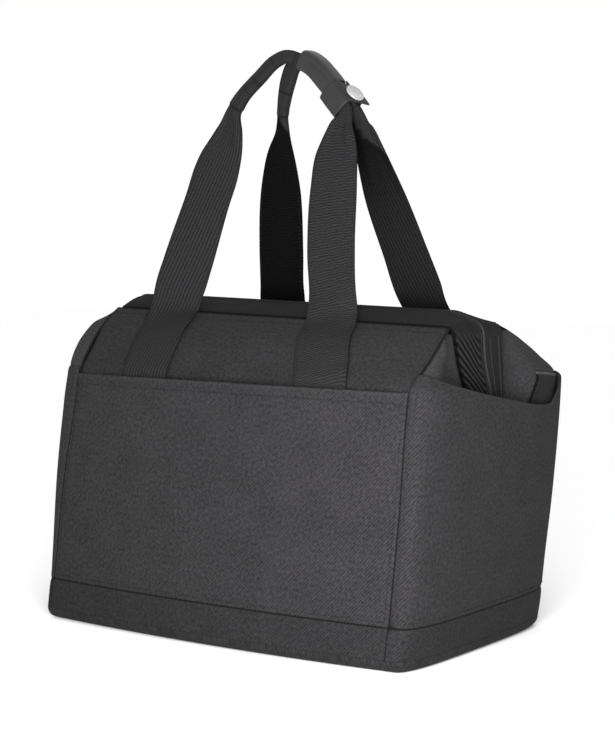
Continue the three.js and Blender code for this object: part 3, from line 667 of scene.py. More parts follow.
# %% Relief of sewn cloth
CLOTH = 1.5
SEAM_DIP, SEAM_SOFT, ROOF_SOFT = 1.1, 2.6, 1.15
MOUTH_FOLD, FOLD_RISE, FOLD_SOFT, STITCH_DIP, STITCH_HALF = 13, 0.25, 2, 0.3, 1.1
MOUTH_STITCH = 0.62 * MOUTH_FOLD
FACE_HALF, END_ROUND = 181, 235
MOUTH_LEAN, LEAN_DEPTH, LEAN_START = 1.8, 34, 0.03
CALM, ROOF_CALM, ROOF_CALM_LOW, ROOF_CALM_HIGH = 25, 20, 10, 8
FACE_WAVES = [(210, 260, 0.4, 0.5), (-130, 170, 1.9, 0.35), (75, 400, 2.8, 0.2)]
ROOF_WAVES = [(160, 90, 0.9, 0.5), (-95, 130, 2.2, 0.4), (60, -75, 4.0, 0.2)]
MOUTH_SHARES = [0, 0.2, 0.5, 0.82, 0.86, 0.9, 0.95, 1]
side_mouth = curve_through(MOUTH_SHARES, [231, 219, 206, 196, 196.5, 202, 211.5, 222])


def hump(distance, half):
    """A bell: 1 in its middle, and e to the minus one at its half width."""
    return np.exp(-((distance / half) ** 2))


def seam_dip(distance):
    """Depth of the cloth below its free surface at a distance from a sewn edge."""
    return SEAM_DIP * np.exp(-np.maximum(distance, 0) / SEAM_SOFT)


def slow_waves(a, b, waves):
    """A sum of slanted sine waves, each given as its lengths along a and b, its phase and its height."""
    return sum(height * np.sin(2 * np.pi * (a / la + b / lb) + phase) for la, lb, phase, height in waves)


def pocket_inset(along, from_side, z):
    """How deep a pocket's outer side lies below the outline: dips at its seams, and waves that calm beside
    them."""
    above = z - POCKET_LOW
    dip = np.maximum(seam_dip(from_side), seam_dip(above))
    return dip - smooth(from_side / CALM) * smooth(above / CALM) * slow_waves(along, z, FACE_WAVES)


def face_inset(u, z):
    """A face pocket's relief: up over the fold at its mouth, with a groove at the fold's line of
    stitches."""
    below = MOUTH - z
    fold = FOLD_RISE * (1 - smooth((below - MOUTH_FOLD) / FOLD_SOFT))
    groove = STITCH_DIP * hump(below - MOUTH_STITCH, STITCH_HALF)
    return pocket_inset(u * FACE_HALF, (1 - np.abs(u)) * FACE_HALF, z) - fold + groove


def side_inset(side, share, z):
    """An end pocket's relief. The left one leans in to the body at its mouth."""
    near_mouth = smooth(1 - (side_mouth(share) - z) / LEAN_DEPTH)
    lean = MOUTH_LEAN * (side < 0) * smooth(share / LEAN_START) * near_mouth
    return pocket_inset(share * END_ROUND, np.minimum(share, 1 - share) * END_ROUND, z) + lean


def panel_inset(u, z):
    """How deep the body's face lies below its own outline: sunk at its seams with the ends and with the
    hem."""
    from_side, from_top = (1 - np.abs(u)) * FACE_HALF, ROOF_TOP - z
    dip = np.maximum(seam_dip(from_side), seam_dip(ROOF_SOFT * from_top))
    calm = smooth(from_side / ROOF_CALM) * smooth((z - MOUTH) / ROOF_CALM_LOW)
    return dip - calm * smooth(from_top / ROOF_CALM_HIGH) * slow_waves(u * FACE_HALF, z, ROOF_WAVES)


print("dip at a seam:", SEAM_DIP, "mm; rise of a folded mouth:", FOLD_RISE, "mm")

# %% [markdown]
# ## Bottom and band
# The bottom is a tray with a rounded edge. The band stands on it as a ring, sewn along both its edges. Both
# follow the same closed outline, which goes along the front, round the right end, back along the back and
# round the left.

# %% Bottom and band
FACE_STEPS, END_STEPS, CROWDING, NEAR_SEAM, SEAM_STEPS = 80, 72, 0.85, 0.965, 7
EDGE_ROUND, EDGE_RINGS, FLAT_RINGS, BAND_EDGE, BAND_STEPS = 9.6, 8, (0.1, 0.9, 6), 5, 8
ACROSS = (-1, -NEAR_SEAM, SEAM_STEPS), (-NEAR_SEAM, NEAR_SEAM, FACE_STEPS), (NEAR_SEAM, 1, SEAM_STEPS)
across = spread_out(*ACROSS)
evenly = np.linspace(0, 1, END_STEPS + 1)
round_end = evenly - CROWDING * np.sin(2 * np.pi * evenly) / (2 * np.pi)


def loop(z, inset):
    """The closed outline of the bag at a height, from the front left seam round to it again."""
    shares = round_end[1:-1]
    return np.concatenate([
        face_point(-1, across, z, inset),
        end_point(1, shares, z, inset),
        face_point(1, across[::-1], z, inset),
        end_point(-1, shares[::-1], z, inset),
    ])


def base_panel():
    """A tray: rings shrink along the flat bottom, go round a quarter circle and come back a cloth inside
    it."""
    flat = loop(EDGE_ROUND, EDGE_ROUND)
    middle = flat.mean(0)
    under = middle + (flat - middle) * np.linspace(*FLAT_RINGS)[:, None, None]
    under[..., 2] = 0
    turn = np.linspace(0, np.pi / 2, EDGE_RINGS)

    def rounded(radius):
        rings = np.array([loop(EDGE_ROUND, EDGE_ROUND - radius * np.sin(a)) for a in turn])
        rings[..., 2] = (EDGE_ROUND - radius * np.cos(turn))[:, None]
        return rings

    over = under[::-1] + (0, 0, CLOTH)
    rings = np.concatenate([under, rounded(EDGE_ROUND), rounded(EDGE_ROUND - CLOTH)[::-1], over])
    far = np.full(rings.shape[:2], FAR)
    return stuffed("bottom", rings, rings[..., :2], base_canvas, sewn=far, free=far)


def base_band():
    """A ring of cloth between two heights, dipping at the seam above it, with painted seam shade in upright
    lines at its corners."""
    low, high = BAND_LOW + BAND_EDGE, BAND_TOP - BAND_EDGE
    heights = spread_out((BAND_LOW, low, SEAM_STEPS), (low, high, BAND_STEPS), (high, BAND_TOP, SEAM_STEPS))
    dips = seam_dip(BAND_TOP - heights)
    outer, inner = (np.array([loop(z, dip + t) for z, dip in zip(heights, dips)]) for t in (0, CLOTH))
    ring = loop(BAND_TOP, 0)
    at = np.cumsum(np.linalg.norm(ring - np.roll(ring, 1, 0), axis=1))
    wide, half = len(across), len(across) + END_STEPS - 1
    apart = np.abs(at[:, None] - at[[0, wide - 1, half, half + wide - 1]])
    corners = np.minimum(apart, at[-1] - apart).min(1)
    return cloth("band", outer, inner, base_canvas, closed=True, plain=("low",), seams=corners)


def add(**made):
    """Keeps pieces under the names of their nodes, and says how many faces they have."""
    pieces.update(made)
    print("faces:", {node: len(piece.data.polygons) for node, piece in made.items()})


pieces = {}
add(base_panel=base_panel(), base_band=base_band())

# %% [markdown]
# ## Pockets
# Four open pockets stand round the body: one on each face with a straight folded mouth, and one on each end
# with a mouth that dips in the middle. They are single sheets sewn at both sides and to the band.

# %% Face pockets and end pockets
LEFT_CORNER, CORNER_SPAN = 8, 0.12
FACE_ROWS = (POCKET_LOW, 43, 7), (43, 200, 44), (200, MOUTH, 24)
SIDE_ROWS = (0, 0.045, 7), (0.045, 0.9, 40), (0.9, 1, 22)


def two_sided(surface, inset):
    """The outer and inner sides of a sheet, given a surface that takes an inset."""
    return surface(inset), surface(inset + CLOTH)


def face_pocket(name, face):
    """A face between the band and the mouth, with its seams, fold and slow waves."""
    z = spread_out(*FACE_ROWS)[:, None]
    sides = two_sided(lambda inset: face_point(face, across, z, inset), face_inset(across, z))
    return cloth(name, *sides, pocket_canvas, free=("high",))


def side_pocket(name, side):
    """An end between the band and a curved mouth: rows divide the height below the mouth."""
    mouth = side_mouth(round_end) - LEFT_CORNER * (side < 0) * (1 - smooth(round_end / CORNER_SPAN))
    z = POCKET_LOW + (mouth - POCKET_LOW) * spread_out(*SIDE_ROWS)[:, None]
    sides = two_sided(lambda inset: end_point(side, round_end, z, inset), side_inset(side, round_end, z))
    return cloth(name, *sides, pocket_canvas, free=("high",))


add(front_pocket=face_pocket("pocket_front", -1), back_pocket=face_pocket("pocket_back", 1))
add(side_pocket_left=side_pocket("pocket_left", -1), side_pocket_right=side_pocket("pocket_right", 1))

# %% [markdown]
# ## The body
# The body's front and back rise behind the pockets and lean in as a roof. The end walls close it, with a
# shallow fold on each side of the strips that run down over them.

# %% Panels and end walls
GUSSET_TOP, GUSSET_DIP, WALL_BEND, BEND_ROWS = 267.6, 4, 251, 12
PANEL_ROWS = (BODY_LOW, 190, 18), (190, 232, 18), (232, 262, 22), (262, ROOF_TOP, 10)
WALL_ROWS = (BODY_LOW, 150, 14), (150, WALL_BEND, 44)


def body_panel(name, face):
    """A face of the body from the bottom to the roof's top edge."""
    z = spread_out(*PANEL_ROWS)[:, None]
    sides = two_sided(lambda inset: panel_point(face, across, z, inset), panel_inset(across, z))
    return cloth(name, *sides, roof_canvas)


def gusset(name, side):
    """An end wall of the body, whose top edge dips in the middle to follow the bend of the strips."""
    top = GUSSET_TOP - GUSSET_DIP * reach(round_end)
    low = spread_out(*WALL_ROWS)[:-1, None] + 0 * round_end
    z = np.concatenate([low, WALL_BEND + (top - WALL_BEND) * np.linspace(0, 1, BEND_ROWS)[:, None]])
    dip = seam_dip(np.minimum(round_end, 1 - round_end) * END_ROUND) + 0 * z
    return cloth(name, *two_sided(lambda depth: gusset_point(side, round_end, z, depth), dip), wall_canvas_painted_light)


add(front_panel=body_panel("roof_front", -1), back_panel=body_panel("roof_back", 1))
add(gusset_left=gusset("end_wall_left", -1), gusset_right=gusset("end_wall_right", 1))

# %% [markdown]
# ## Hem strips and zip
# Two strips of cloth lie along the zip: up the left end, over the top and down the right end. They are
# domed, like a tape sewn over a cord. Each strip is a profile carried along that line, and the zip's tape
# lies in the gap between them.

# %% The strips' line and section
DOME_TOP, DOME_END, DOME_RISE, DOME_RISE_LEFT = 10, 3, 30, 7
BEND_LOW = HEM_BED - STRIP_BEND


def strip_line(upright, bend, over):
    """The line up the left end, over the top and down the right end: x, z and the normal's x and z by
    row."""
    up = np.linspace(STRIP_LOW, BEND_LOW, upright + 1)
    turn = np.linspace(0, np.pi / 2, bend + 1)[1:-1]
    top = np.linspace(STRIP_LEFT + STRIP_BEND, STRIP_RIGHT - STRIP_BEND, over + 1)
    ends = []
    for side, edge in ((-1, STRIP_LEFT), (1, STRIP_RIGHT)):
        rising = np.stack([0 * up + edge, up, 0 * up + side, 0 * up], 1)
        round_over = np.stack([
            edge - side * STRIP_BEND * (1 - np.cos(turn)),
            BEND_LOW + STRIP_BEND * np.sin(turn),
            side * np.cos(turn),
            np.sin(turn),
        ], 1)
        ends.append(np.concatenate([rising, round_over]))
    flat = np.stack([top, 0 * top + HEM_BED, 0 * top, 0 * top + 1], 1)
    return np.concatenate([ends[0], flat, ends[1][::-1]])


def strip_point(line, w, depth):
    """A point of a strip: w runs from -1 at its front edge to 1 at its back edge, and the dome falls off as
    w squared. Depth goes down from the dome."""
    x, z, nx, nz = line.T[..., None]
    inward = np.minimum((x - STRIP_LEFT) / DOME_RISE_LEFT, (STRIP_RIGHT - x) / DOME_RISE)
    dome = DOME_END + (DOME_TOP - DOME_END) * smooth(inward)
    width = np.where(w < 0, strip_front(z), strip_back(z))
    lift = dome * (1 - w * w) - depth
    return settle(placed(x + nx * lift, strip_middle(z) + w * width, z + nz * lift))


strip_rows = strip_line(upright=34, bend=8, over=130)
print("strip rows:", len(strip_rows))

# %% The two strips
HEM_CLOTH, HEM_START, HEM_COLUMNS, HEM_EDGE, HEM_EDGE_SOFT = 1.9, 0.05, 44, 0.9, 0.05
WELT_AT, WELT_HEIGHT, WELT_HALF = 0.2, 0.7, 0.05
RIDGES, RIDGE_HEIGHT, RIDGE_HALF, RIDGE_FADE, RIDGE_SPAN, RIDGE_HIGHLIGHT_TOP = (0.3, 0.72), 1.0, 0.05, 236, 26, 262
RIBBED_TO, RIBBED_SPAN = 254, 14


def hem_relief(line, w):
    """Depth of a strip's outer side: sunk at its sewn edge, raised in a welt beside the zip, and on the
    back strip raised in two ridges where it runs down the ends."""
    size = np.abs(w)
    sunk = HEM_EDGE * np.exp(-(1 - size) / HEM_EDGE_SOFT)
    welt = WELT_HEIGHT * hump(size - WELT_AT, WELT_HALF)
    down = 1 - smooth((line[:, 1:2] - RIDGE_FADE) / RIDGE_SPAN)
    return sunk - welt - down * sum(RIDGE_HEIGHT * hump(w - at, RIDGE_HALF) for at in RIDGES)


def hem(name, start, end):
    """A strip between two places across the line. The front one is ribbed where it runs down the ends, and
    there the ridges of the back one carry a painted highlight."""
    w = spread_out((start, end, HEM_COLUMNS))
    heights = strip_rows[:, 1:2]
    depth = hem_relief(strip_rows, w)
    outer, inner = (strip_point(strip_rows, w, depth + t) for t in (0, HEM_CLOTH))
    ribbed = (1 - smooth((heights - RIBBED_TO) / RIBBED_SPAN)) * (w < 0)
    worn, inner_edge = FAR, ("right",)
    if start > 0:
        # Pale lines along the back strip's two ridges: painted highlight, below the height where the ends
        # meet the top.
        worn = np.minimum.reduce([np.abs(w - at) for at in RIDGES]) * strip_back(heights)
        inner_edge = ("left",)
    worn = worn + (heights > RIDGE_HIGHLIGHT_TOP) * FAR
    return cloth(name, outer, inner, hem_cloth, free=inner_edge, worn=worn, ribbed=ribbed)


add(hem_front=hem("strip_front", -1, -HEM_START), hem_back=hem("strip_back", HEM_START, 1))

# %% [markdown]
# ## Small shapes in rows
# Stitches and zip teeth are the same small shape many times over. A spindle with six sides stands for both.
# Each copy gets a middle, a direction along and a direction out, and all copies of one kind become one
# mesh.

# %% Spindles in rows
SPINDLE_SIDES, SHOULDER_AT, SHOULDER_SIZE = 6, 0.38, 0.8
LOW_MIDDLE, NUDGE = np.array([TOP_MIDDLE, 0, 110]), 1e-3


def spindle(length, half_wide, half_high):
    """Points and faces of a spindle along X: three six-sided rings and a point at each end."""
    k, n = np.arange(SPINDLE_SIDES), SPINDLE_SIDES
    turn = 2 * np.pi * k / n
    x = np.array([[-SHOULDER_AT], [0], [SHOULDER_AT]]) * length
    size = np.array([[SHOULDER_SIZE], [1], [SHOULDER_SIZE]])
    rings = placed(x, size * half_wide * np.cos(turn), size * half_high * np.sin(turn)).reshape(-1, 3)
    points = np.concatenate([rings, [[-length / 2, 0, 0], [length / 2, 0, 0]]])
    after = (k + 1) % n
    first = np.stack([0 * k + 3 * n, k, after], 1)
    last = np.stack([0 * k + 3 * n + 1, 2 * n + after, 2 * n + k], 1)
    return points, [quads(3, n, closed=True), np.concatenate([first, last])]


def repeated(name, shape, middles, along, out, material):
    """One mesh of many copies of a shape, its X turned along and its Z turned out."""
    points, faces = shape
    along = unit(along)
    out = unit(out - (out * along).sum(-1, keepdims=True) * along)
    axes = np.stack([along, np.cross(out, along), out], 1)
    copies = (middles[:, None] + points @ axes).reshape(-1, 3)
    first = (np.arange(len(middles)) * len(points))[:, None, None]
    groups = [(group[None] + first).reshape(-1, group.shape[1]) for group in faces]
    return put_mesh(name, copies, groups, np.zeros((len(copies), 2)), {}, material)


def sampled(at, rows, wanted):
    """Rows of numbers at known places, read at wanted places between them."""
    return np.stack([np.interp(wanted, at, column) for column in rows.T], 1)


def even_places(line, normal, pitch):
    """Places one pitch apart on a line of points, and the normals there."""
    at = arc_lengths(line, 0)
    wanted = np.arange(pitch / 2, at[-1], pitch)
    return sampled(at, line, wanted), sampled(at, normal, wanted)


def on_surface(surface, a, b):
    """A line on a surface of two parameters, with the surface's normal away from the bag's middle."""
    line = surface(a, b)
    across_a = surface(a + NUDGE, b) - surface(a - NUDGE, b)
    normal = np.cross(across_a, surface(a, b + NUDGE) - surface(a, b - NUDGE))
    return line, unit(normal) * np.sign((normal * (line - LOW_MIDDLE)).sum(-1, keepdims=True))


print("spindle:", len(spindle(1, 1, 1)[0]), "points")

# %% [markdown]
# ## The zip
# The tape is a narrow strip between the two hems. Its teeth are two rows of short bars that stand across
# the line and interlock: the second row is half a pitch behind the first.

# %% Zip tape and teeth
ZIP_HALF, TAPE_DEPTH, TAPE_CLOTH, TAPE_COLUMNS = 0.11, 3.1, 0.9, 9
TOOTH_PITCH, TOOTH_REACH, TOOTH_RISE, TOOTH = 2.2, 1.1, 0.5, (3.0, 0.75, 0.7)


def zip_tape():
    """The strip between the hems, a little lower than they are."""
    w = np.linspace(-ZIP_HALF, ZIP_HALF, TAPE_COLUMNS)
    outer, inner = (strip_point(strip_rows, w, TAPE_DEPTH + t) for t in (0, TAPE_CLOTH))
    return cloth("zip_tape", outer, inner, zip_plastic)


def zip_teeth():
    """Bars across the line in two rows, half a pitch apart."""
    fine = strip_line(upright=80, bend=12, over=300)
    line = strip_point(fine, np.zeros(1), TAPE_DEPTH - TOOTH_RISE)[:, 0]
    middles, out = even_places(line, placed(fine[:, 2], 0, fine[:, 3]), TOOTH_PITCH / 2)
    middles[:, 1] += TOOTH_REACH * np.where(np.arange(len(middles)) % 2, 1, -1)
    cross = np.tile([0.0, 1.0, 0.0], (len(middles), 1))
    return repeated("zip_teeth", spindle(*TOOTH), middles, cross, out, zip_plastic)


add(zip_chain=zip_tape())
teeth = zip_teeth()

# %% [markdown]
# ## Zip slider
# The slider sits on the zip at the left end with its pull hanging down. It is one flat outline with rounded
# edges: the body is a chamfered plate, and the pull is a narrower tongue with a round tip.

# %% Zip slider
SLIDER_Z, SLIDER_HALF, SLIDER_HIGH, SLIDER_SHOULDER, SLIDER_CHAMFER = 236, 5.5, 15, 10, 3
PULL_HALF, PULL_NECK, PULL_LONG, SLIDER_GAP, SLIDER_POINTS, TIP_POINTS = 4, 4, 30, 0.8, 120, 12
PLATE_DEPTHS, PLATE_DRAWN = [0.0, 0.15, 0.7, 2.3, 2.85, 3.0], [0.9, 0.35, 0.0, 0.0, 0.35, 0.9]


def slider():
    """Rings of the plate's outline, drawn in at both faces to round the edge, stacked through its
    thickness."""
    tip = np.linspace(np.pi, 2 * np.pi, TIP_POINTS)
    half = np.concatenate([
        [[-SLIDER_HALF, 0], [-PULL_HALF, -PULL_NECK]],
        np.stack([PULL_HALF * np.cos(tip), PULL_HALF * np.sin(tip) - PULL_LONG], 1),
        [[PULL_HALF, -PULL_NECK], [SLIDER_HALF, 0], [SLIDER_HALF, SLIDER_SHOULDER]],
        [[SLIDER_HALF - SLIDER_CHAMFER, SLIDER_HIGH], [SLIDER_CHAMFER - SLIDER_HALF, SLIDER_HIGH]],
        [[-SLIDER_HALF, SLIDER_SHOULDER], [-SLIDER_HALF, 0]],
    ])
    at = arc_lengths(half, 0)
    edge = sampled(at, half, np.linspace(0, at[-1], SLIDER_POINTS + 1)[:-1])
    inwards = np.roll(edge, 1, 0) - np.roll(edge, -1, 0)
    inwards = unit(np.stack([inwards[:, 1], -inwards[:, 0]], 1))
    flat = edge + inwards * np.array(PLATE_DRAWN)[:, None, None]
    x = STRIP_LEFT - DOME_END - SLIDER_GAP - np.array(PLATE_DEPTHS)[:, None]
    rings = placed(x, strip_middle(SLIDER_Z) - flat[..., 0], SLIDER_Z + flat[..., 1])
    return stuffed("zip_pull", rings, flat, zip_metal)


add(zip_slider=slider())

# %% [markdown]
# ## Handles
# Each handle is one length of webbing: sewn flat to a roof, standing up free, then folded into a thick
# round grip and back down to the other leg. A section is carried along the whole length. It is flat and
# wide on the legs and nearly round in the grip, and between them it gathers in creases. A row of the free
# part holds its middle's x, y and z, its width and its thickness.

# %% The handles' course
LEG_WIDTH, WEBBING, LEG_LIFT, HEM_TIP = 50, 2.6, 2.9, 0.7
LEG_TURN_FRONT, LEG_TURN_BACK, TURN_FADE, TURN_SPAN = 0.17, 0.1, 300, 70
SEWN_HEIGHTS = np.array([166, 188, 206, 214, 221, 229, 240, 251, 260.0])
SEWN_AT = [160, 214, 238, 262]
SEWN = {
    "front_left": [-81, -83, -86, -90],
    "front_right": [104, 107, 96, 83],
    "back_left": [-58, -54, -47, -42],
    "back_right": [106, 121, 121, 117],
}
FRONT_FREE = np.array([
    (-92, -49, 273.5, 50, 2.6), (-91.5, -42.5, 291, 50, 2.6), (-87.5, -37, 312, 50, 2.6),
    (-73, -27, 367, 50, 2.6), (-65, -22, 396, 49, 2.8), (-60.5, -19.5, 411, 43, 3.2),
    (-56, -16.5, 430, 31, 4.6), (-51.5, -14.2, 447, 16.5, 8.5), (-45.5, -13, 456.5, 13.5, 9.5),
    (-26, -10.2, 475.2, 12.3, 9.4), (-9, -8, 489, 11.5, 8.6), (1.5, -6.8, 492.2, 11.2, 8.2),
    (12, -5.2, 488.6, 12.5, 8), (29.5, -4.6, 481, 13, 8), (42.5, -4.6, 468.5, 13, 8),
    (54.5, -4.7, 456, 13, 8), (61.5, -4.9, 446.5, 12, 7.2), (63, -6.6, 440, 13.5, 6),
    (61.5, -11, 430, 25, 5), (61, -16, 409, 42, 3.4), (62.5, -22, 380, 48.5, 2.6),
    (68, -33, 328, 50, 2.6), (76, -42, 287, 50, 2.6), (79.5, -47.5, 271, 50, 2.6),
])
BACK_FREE = np.array([
    (-42.5, 45, 272.5, 50, 2.6), (-40.5, 39, 292, 50, 2.6), (-36, 32, 325, 50, 2.6),
    (-28.5, 22.5, 384, 43, 2.8), (-23, 17, 413, 30, 4), (-20, 14, 431, 15.5, 6.5),
    (-18.6, 12.5, 444, 10.5, 8.5), (-14.3, 10, 459, 12.5, 9), (-8.8, 8, 473, 14.5, 9.5),
    (-2, 6.4, 484.5, 14, 9), (11, 5, 489, 12.5, 8), (29.5, 4.6, 481, 13, 8),
    (42.5, 4.6, 468.5, 13, 8), (55, 4.7, 456, 13, 8), (63, 4.9, 446.5, 12, 7.2),
    (66.5, 6.6, 440.5, 12, 6), (66.5, 11, 431, 22, 5), (71.5, 16.5, 413, 28, 3.4),
    (82.3, 24, 373, 40, 2.6), (96, 33, 328, 46, 2.6), (108, 40, 290.5, 49, 2.6), (115.5, 45.5, 271, 50, 2.6),
])


def sewn_leg(face, places):
    """Rows of a leg on the roof, from low to high: point, width, thickness and the roof's normal."""
    across_at = curve_through(SEWN_AT, places)

    def on_roof(z):
        left, right = (panel_point(face, u, z, 0)[..., 0] for u in (-1, 1))
        return panel_point(face, 2 * (across_at(z) - left) / (right - left) - 1, z, 0)

    low = on_roof(SEWN_HEIGHTS)
    rise = on_roof(SEWN_HEIGHTS + 1) - low
    normal = unit(placed(0, rise[:, 2], -rise[:, 1])) * face
    size = np.tile([LEG_WIDTH, WEBBING], (len(low), 1))
    return np.concatenate([low + normal * LEG_LIFT, size, normal], 1)


def handle_rows(face, left, free, right):
    """All rows of a handle, from the foot of its left leg to the foot of its right leg. The front handle's
    left leg and the back handle's right leg are turned a little to the right above the roof."""
    normal = np.tile([0.0, face, 0.0], (len(free), 1))
    turned = (free[:, 0] * face > 0) * (1 - smooth((free[:, 2] - TURN_FADE) / TURN_SPAN))
    normal[:, 0] = (LEG_TURN_BACK if face > 0 else LEG_TURN_FRONT) * turned
    normal[[0, -1], 2] = HEM_TIP
    rows = np.concatenate([free, normal], 1)
    return np.concatenate([sewn_leg(face, SEWN[left]), rows, sewn_leg(face, SEWN[right])[::-1]])


handle_courses = {
    "handle_front": handle_rows(-1, "front_left", FRONT_FREE, "front_right"),
    "handle_back": handle_rows(1, "back_left", BACK_FREE, "back_right"),
}
print("rows:", {name: len(rows) for name, rows in handle_courses.items()})

# %% The webbing along its course
WEBBING_SIDES, WEBBING_STEP, WEBBING_CORNER, GRIP_WIDTH, FLAT_SPAN, HALF_FADE = 56, 2.2, 0.5, 16, 30, 40
GATHER, GATHER_WAVES, GROOVE, GROOVE_TURN, GROOVE_HALF = 1.3, 1.5, 0.16, 0.56 * np.pi, 0.22
SLEEVE_FRONT, SLEEVE_BACK, ROLL_SHRINK = 449, 441, 0.16
SLEEVE_GROWTH, SLEEVE_EDGE, SLEEVE_SEAM = 0.13, 1.5, 0.6
# Where the painted shade on the webbing's inner side stops.
SHADE_SIDE_TOP, SHADE_SIDE_SLANT, SHADE_SIDE_RIGHT, SHADE_SIDE_SOFT = 440, 8, 7, 3
FOLD_TOP, FOLD_LENGTH, FOLD_SHARP, FADE_MOST, FADE_RATE = 446, 44, 9, 0.5, 0.35
BINDING, WANDER, WANDER_LENGTH, GRIP_WOVEN, WOVEN_RATE = 11, 3, 6.5, 0.25, 4


def squarish(turn, corner):
    """The cosine and the sine of a turn, drawn out to a power below 1: a ring with rounded corners."""
    return [np.sign(part) * np.abs(part) ** corner for part in (np.cos(turn), np.sin(turn))]


def webbing_frame(rows):
    """Distance, middle, wide way, thin way, width and thickness at even steps of a handle's course."""
    along, flow = flow_through(rows, WEBBING_STEP)
    middle, width, thick, normal = flow[:, :3], flow[:, 3], flow[:, 4], flow[:, 5:]
    forward = unit(np.gradient(middle, along, axis=0))
    thin = unit(normal - (normal * forward).sum(1, keepdims=True) * forward)
    return along, middle, np.cross(forward, thin), thin, width, thick


def webbing_marks(along, height, a, b, flat, covered, sleeve, folded):
    """Marks of a handle: the painted shade on the inner side of its legs, the cords of one leg, how woven it
    is, and the binding that is wound round its grip. Folded: below the grip's right end the painted shade
    gives way to the outer tone over one edge, as if the outer side turned over there."""
    right_leg = (along > along.mean())[:, None]
    # Painted shade on the inner side of the legs, up to a slanted line under the grip.
    shade_side_top = SHADE_SIDE_TOP + SHADE_SIDE_RIGHT * folded * right_leg + SHADE_SIDE_SLANT * a
    lining = smooth(0.5 - 2 * b) * smooth((shade_side_top - height) / SHADE_SIDE_SOFT)
    down = (FOLD_TOP - height) / FOLD_LENGTH
    turned_over = np.maximum(FADE_MOST * smooth(FADE_RATE * down), smooth(FOLD_SHARP * (a + 1 - 2 * down)))
    corded = smooth((1 - 2 * folded) * (along.mean() - along) / HALF_FADE)[:, None] + 0 * a
    woven = GRIP_WOVEN + (1 - GRIP_WOVEN) * smooth(WOVEN_RATE * flat) + 0 * a
    wound = along - sleeve + WANDER * np.sin(along / WANDER_LENGTH) + BINDING / 2
    turns = np.abs(wound % BINDING - BINDING / 2) + FAR * (covered < 0.5)
    sewn = np.minimum(turns, SLEEVE_SEAM * np.abs(along - sleeve))[:, None] + 0 * a
    lining = lining * (1 - folded * right_leg * turned_over)
    return {"lining": lining, "corded": corded, "woven": woven, "sewn": sewn}


def webbing(name, rows, sleeve_foot, folded=0):
    """A squarish round section carried along: its half width times the root of the cosine, its half
    thickness times the root of the sine. Creases bend it where it gathers, a groove runs along the grip,
    and the sleeve round the grip is thicker by a step."""
    along, middle, wide, thin, width, thick = webbing_frame(rows)
    turn = 2 * np.pi * (np.arange(WEBBING_SIDES) + 0.5) / WEBBING_SIDES
    a, b = squarish(turn, WEBBING_CORNER)
    flat = smooth((width - GRIP_WIDTH) / FLAT_SPAN)[:, None]
    crease = GATHER * 4 * flat * (1 - flat) * np.cos(2 * np.pi * GATHER_WAVES * a)
    groove = 1 - GROOVE * (1 - flat) * hump(turn - GROOVE_TURN, GROOVE_HALF)
    grip = along[middle[:, 2] > sleeve_foot]
    covered = smooth((along - grip[0]) / SLEEVE_EDGE) * smooth((grip[-1] - along) / SLEEVE_EDGE)
    left_half = smooth((along.mean() - along) / HALF_FADE)[:, None]
    step = (1 - ROLL_SHRINK * left_half * (1 - flat)) * (1 + SLEEVE_GROWTH * left_half * covered[:, None])
    size = groove * step / 2
    sideways = wide[:, None] * (a * width[:, None] * size)[..., None]
    through = thin[:, None] * (b * thick[:, None] * size + crease)[..., None]
    uv = placed(a * LEG_WIDTH / 2, along[:, None], 0)[..., :2]
    marks = webbing_marks(along, middle[:, 2:], a, b, flat, covered, grip[0], folded)
    marks["free"] = (1 - np.abs(a)) * width[:, None] / 2 + FAR * (1 - flat)
    return stuffed(name, middle[:, None] + sideways + through, uv, strap_webbing, **marks)


add(handle_front=webbing("strap_front", handle_courses["handle_front"], SLEEVE_FRONT))
add(handle_back=webbing("strap_back", handle_courses["handle_back"], SLEEVE_BACK, folded=1))

# %% [markdown]
# ## Wrap, tab and snap
# A soft sleeve holds the two grips together. Below it a short strap winds once round both of them, and its
# tongue comes over the top and is held by a snap with a pale metal cap.

# %% The grip's wrap
WRAP_PATH = np.array([(16.5, 0, 489), (22.5, 0, 486), (29.5, 0, 481), (37, 0, 474), (46.9, 0, 463.6)])
WRAP_HALF_DEPTH, WRAP_HALF_HEIGHT, WRAP_WALL, WRAP_CORNER, WRAP_STEP, WRAP_SIDES = 9.6, 8, 1.4, 0.55, 0.8, 96
WRAP_WAVES, WRAP_SPREAD, WRAP_END, WRAP_END_SOFT = [(26, 40, 0.5, 0.12), (-40, 55, 2.0, 0.12)], 8, 0.5, 1.2
CREASE_TURN, CREASE_SLANT, CREASE_SOFT, CREASE_DEPTH, CREASE_FADE = 1.85, 0.5, 0.17, 0.9, 10
LIP_AT, LIP_HEIGHT = 1.6, 0.7
FORWARD = np.array([0.0, -1.0, 0.0])


